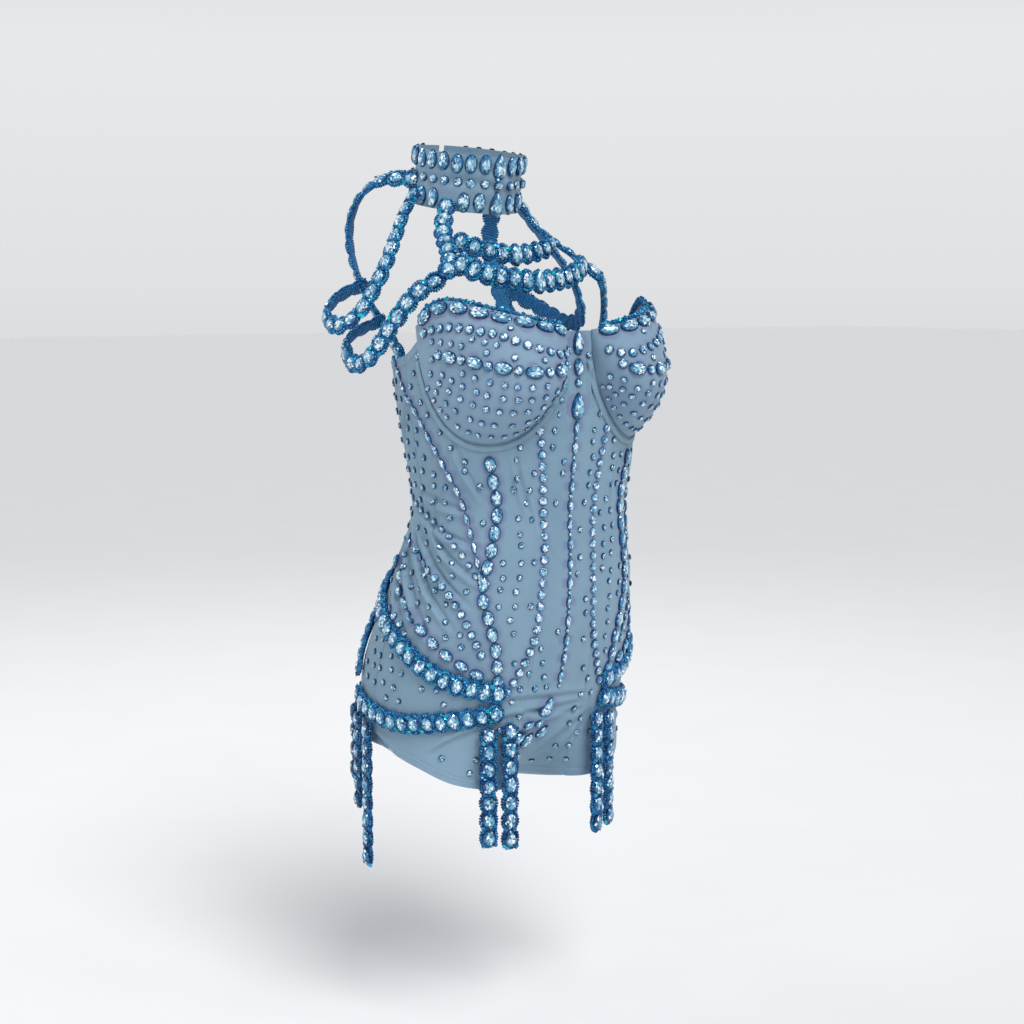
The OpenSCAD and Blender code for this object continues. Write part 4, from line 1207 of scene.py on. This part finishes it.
# ---------- hanging strands ----------
FRONT_L, SIDE_L, STRAND_GAP, STRAND_OUT = 128, 150, 4, 5.5
STRANDS = [  # name, angle and length
    ("front_inner", 19.5, FRONT_L), ("front_outer", 28.5, FRONT_L - 6), ("side_front", 93, SIDE_L),
    ("side_middle", 103, SIDE_L - 50), ("side_back", 113.5, SIDE_L - 70),
]
for side, sign in SIDES.items():
    for key, angle, length in STRANDS:
        name = f"{key}_{side}"
        chain_z = smooth(angle, LOWER_HIP)[1]
        face = normal(angle, chain_z)
        n = unit([face[0], face[1], 0]) * [sign, 1, 1]
        top_z0 = chain_z - BRAID_W / 2 - STRAND_GAP
        out = normal(angle, top_z0 + 12)
        top = (body(angle, top_z0 + 6) + STRAND_OUT * unit([out[0], out[1], 0])) * [sign, 1, 1]
        top[2] = top_z0
        drop = np.linspace(0, length, 60)
        route = Route(top + np.array([[0, 0, -1.0]]) * drop[:, None], np.broadcast_to(n, (60, 3)))
        count = round(length / 17.8)
        step = length / count
        places = step * (np.arange(count) + 0.5)
        parts = Parts()
        braid(parts, route, places, 13, min(17, step - 1), True, pitch=step, hinged=True, deep=0.14)
        # Two thread loops join it to the chain
        s0 = np.cross([0, 0, -1.0], n)
        for across in (-2.6, 2.6):
            turn = np.linspace(0, 2 * np.pi, 16)
            middle = top + s0 * across
            ring = middle + np.outer(np.cos(turn) * 3.4, [0, 0, 1]) + np.outer(np.sin(turn) * 1.1, s0)
            outward = unit(ring - top - s0 * across + 1e-6)
            tube(parts, ring, outward, np.broadcast_to(n, ring.shape), 0.9, 0.9, 6, 1.0, 0.5)
        ob = parts.build(f"strand_{name}_braid", BRAID, "sequin_braid", f"strand_{name}")
        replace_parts(ob, f"strand_{name}")
        group = Stones()
        group.row(route, places[:-1], "oval", 13.2, min(17, step - 1), STONE_H, True, BRAID_T / 2, keep=False)
        p, _, nn = (x[0] for x in route.at(places[-1:]))
        group.set("drop", p + nn * BRAID_T / 2, nn, UP, 13.5, min(18, step), STONE_H + 0.5, keep=False)
        jewels = group.build(f"strand_{name}_jewels", f"strand_{name}", deep=0.15)
        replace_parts(jewels, f"strand_stones_{name}")

# ---------- zip and fastenings ----------
ZIP_Y, ZIP_Z0, ZIP_L, ZIP_SLOPE = 88, 16, 120, 24 / 140
zip_turn = np.array(Matrix.Rotation(-math.atan(ZIP_SLOPE), 3, "X"))
zip_base = np.array([0, ZIP_Y + ZIP_Z0 * ZIP_SLOPE, ZIP_Z0])
tapes = Parts()
for s in (-1, 1):
    x, z = grid(np.linspace(s * 6.5 - 6, s * 6.5 + 6, 25), np.linspace(-9, ZIP_L + 6, 190))
    wave = 0.12 * np.sin(z / 6 + x)
    shell = [np.stack([x, d + wave, z], -1) @ zip_turn.T + zip_base for d in (-2.4, -3.2)]
    closed_sheet(tapes, *shell, np.stack([x, z, x * 0], -1))
tapes = tapes.build("zip_tape_weave", TAPE, "zip_tape")
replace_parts(tapes, "zip_tape")
for name in ("zip_teeth", "zip_slider", "zip_pull", "collar_hooks", "collar_eyes"):
    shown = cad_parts[name].data.materials
    shown.clear()
    shown.append(METAL)
stitches.build("topstitching", THREAD, "bodysuit_fabric")

# ---------- floor, light and camera ----------
FLOOR_Z = -0.56
FLOOR_COLOUR = (0.9, 0.905, 0.91)
CAMERA_AZIMUTH, CAMERA_ELEVATION, CAMERA_DISTANCE, LENS, SENSOR = -35, 6.5, 2.0, 68, 36
AIM_LEFT, AIM_DOWN = 0.00827, 0.0124  # centres the garment where the photograph has it


def floor_look(tree, shader):
    grain = noise(tree, place(tree), 6.0, 3.0)
    low = tuple(c * 0.985 for c in FLOOR_COLOUR)
    feed(tree, shader, {"Base Color": ramp(tree, grain, [(0.3, low), (0.7, FLOOR_COLOUR)]), "Roughness": 0.9})


bpy.ops.mesh.primitive_plane_add(size=60, location=(0, 0, FLOOR_Z))
floor = bpy.context.object
floor.name = "floor"
floor.data.materials.append(material("pale_floor", floor_look))

world = bpy.data.worlds.new("studio")
bpy.context.scene.world = world
world.use_nodes = True
sky = world.node_tree
height = node(sky, "ShaderNodeSeparateXYZ", {0: place(sky, "Generated")}).outputs["Z"]
level = plus(sky, times(sky, height, 0.5), 0.5)
greys = [(0.4, (0.5, 0.51, 0.53)), (0.5, (0.74, 0.75, 0.76)), (0.56, (0.8, 0.81, 0.82)),
         (0.8, (0.22, 0.23, 0.25))]
feed(sky, sky.nodes["Background"], {"Color": ramp(sky, level, greys)})


def towards(azimuth, elevation):
    """Direction from the garment, in degrees round from its front and up."""
    az, el = math.radians(azimuth), math.radians(elevation)
    return Vector((math.sin(az) * math.cos(el), -math.cos(az) * math.cos(el), math.sin(el)))


def link(name, data, location, rotation):
    ob = bpy.data.objects.new(name, data)
    ob.location, ob.rotation_euler = location, rotation
    bpy.context.scene.collection.objects.link(ob)
    return ob


def softbox(name, azimuth, elevation, distance, size, power):
    """A square area light that faces the garment's middle."""
    spot = towards(azimuth, elevation) * distance
    data = bpy.data.lights.new(name, "AREA")
    data.shape, data.size, data.energy = "SQUARE", size, power
    link(name, data, spot, spot.to_track_quat("Z", "Y").to_euler())


SUN_FROM, SUN_ENERGY, SUN_SPREAD = Vector((-0.12, -0.66, 0.8)), 1.9, 28
sun_data = bpy.data.lights.new("soft_sun", "SUN")
sun_data.energy, sun_data.angle = SUN_ENERGY, math.radians(SUN_SPREAD)
link("soft_sun", sun_data, (0, 0, 0), SUN_FROM.to_track_quat("Z", "Y").to_euler())
softbox("key", -70, 30, 2.6, 0.9, 3)
softbox("back_left", 150, 35, 2.8, 1.2, 9)
softbox("back_right", -140, 30, 2.8, 1.2, 7)
# Small lights all round give the stones their sparkle
for i, (az, el) in enumerate(((-15, 32), (-88, 10), (20, 55), (90, 25), (180, 45), (-120, 55))):
    softbox(f"glint_{i}", az, el, 2.4, 0.2, 2.2)

az, el = math.radians(CAMERA_AZIMUTH), math.radians(CAMERA_ELEVATION)
away = towards(CAMERA_AZIMUTH, CAMERA_ELEVATION)
right = Vector((math.cos(az), math.sin(az), 0))
up = Vector((-math.sin(az) * math.sin(el), math.cos(az) * math.sin(el), math.cos(el)))
camera_data = bpy.data.cameras.new("camera")
camera_data.lens, camera_data.sensor_width = LENS, SENSOR
spot = away * CAMERA_DISTANCE - right * AIM_LEFT - up * AIM_DOWN
turned = Matrix((right, up, away)).transposed().to_euler()
bpy.context.scene.camera = link("camera", camera_data, spot, turned)
bpy.context.scene.view_settings.view_transform = "Standard"
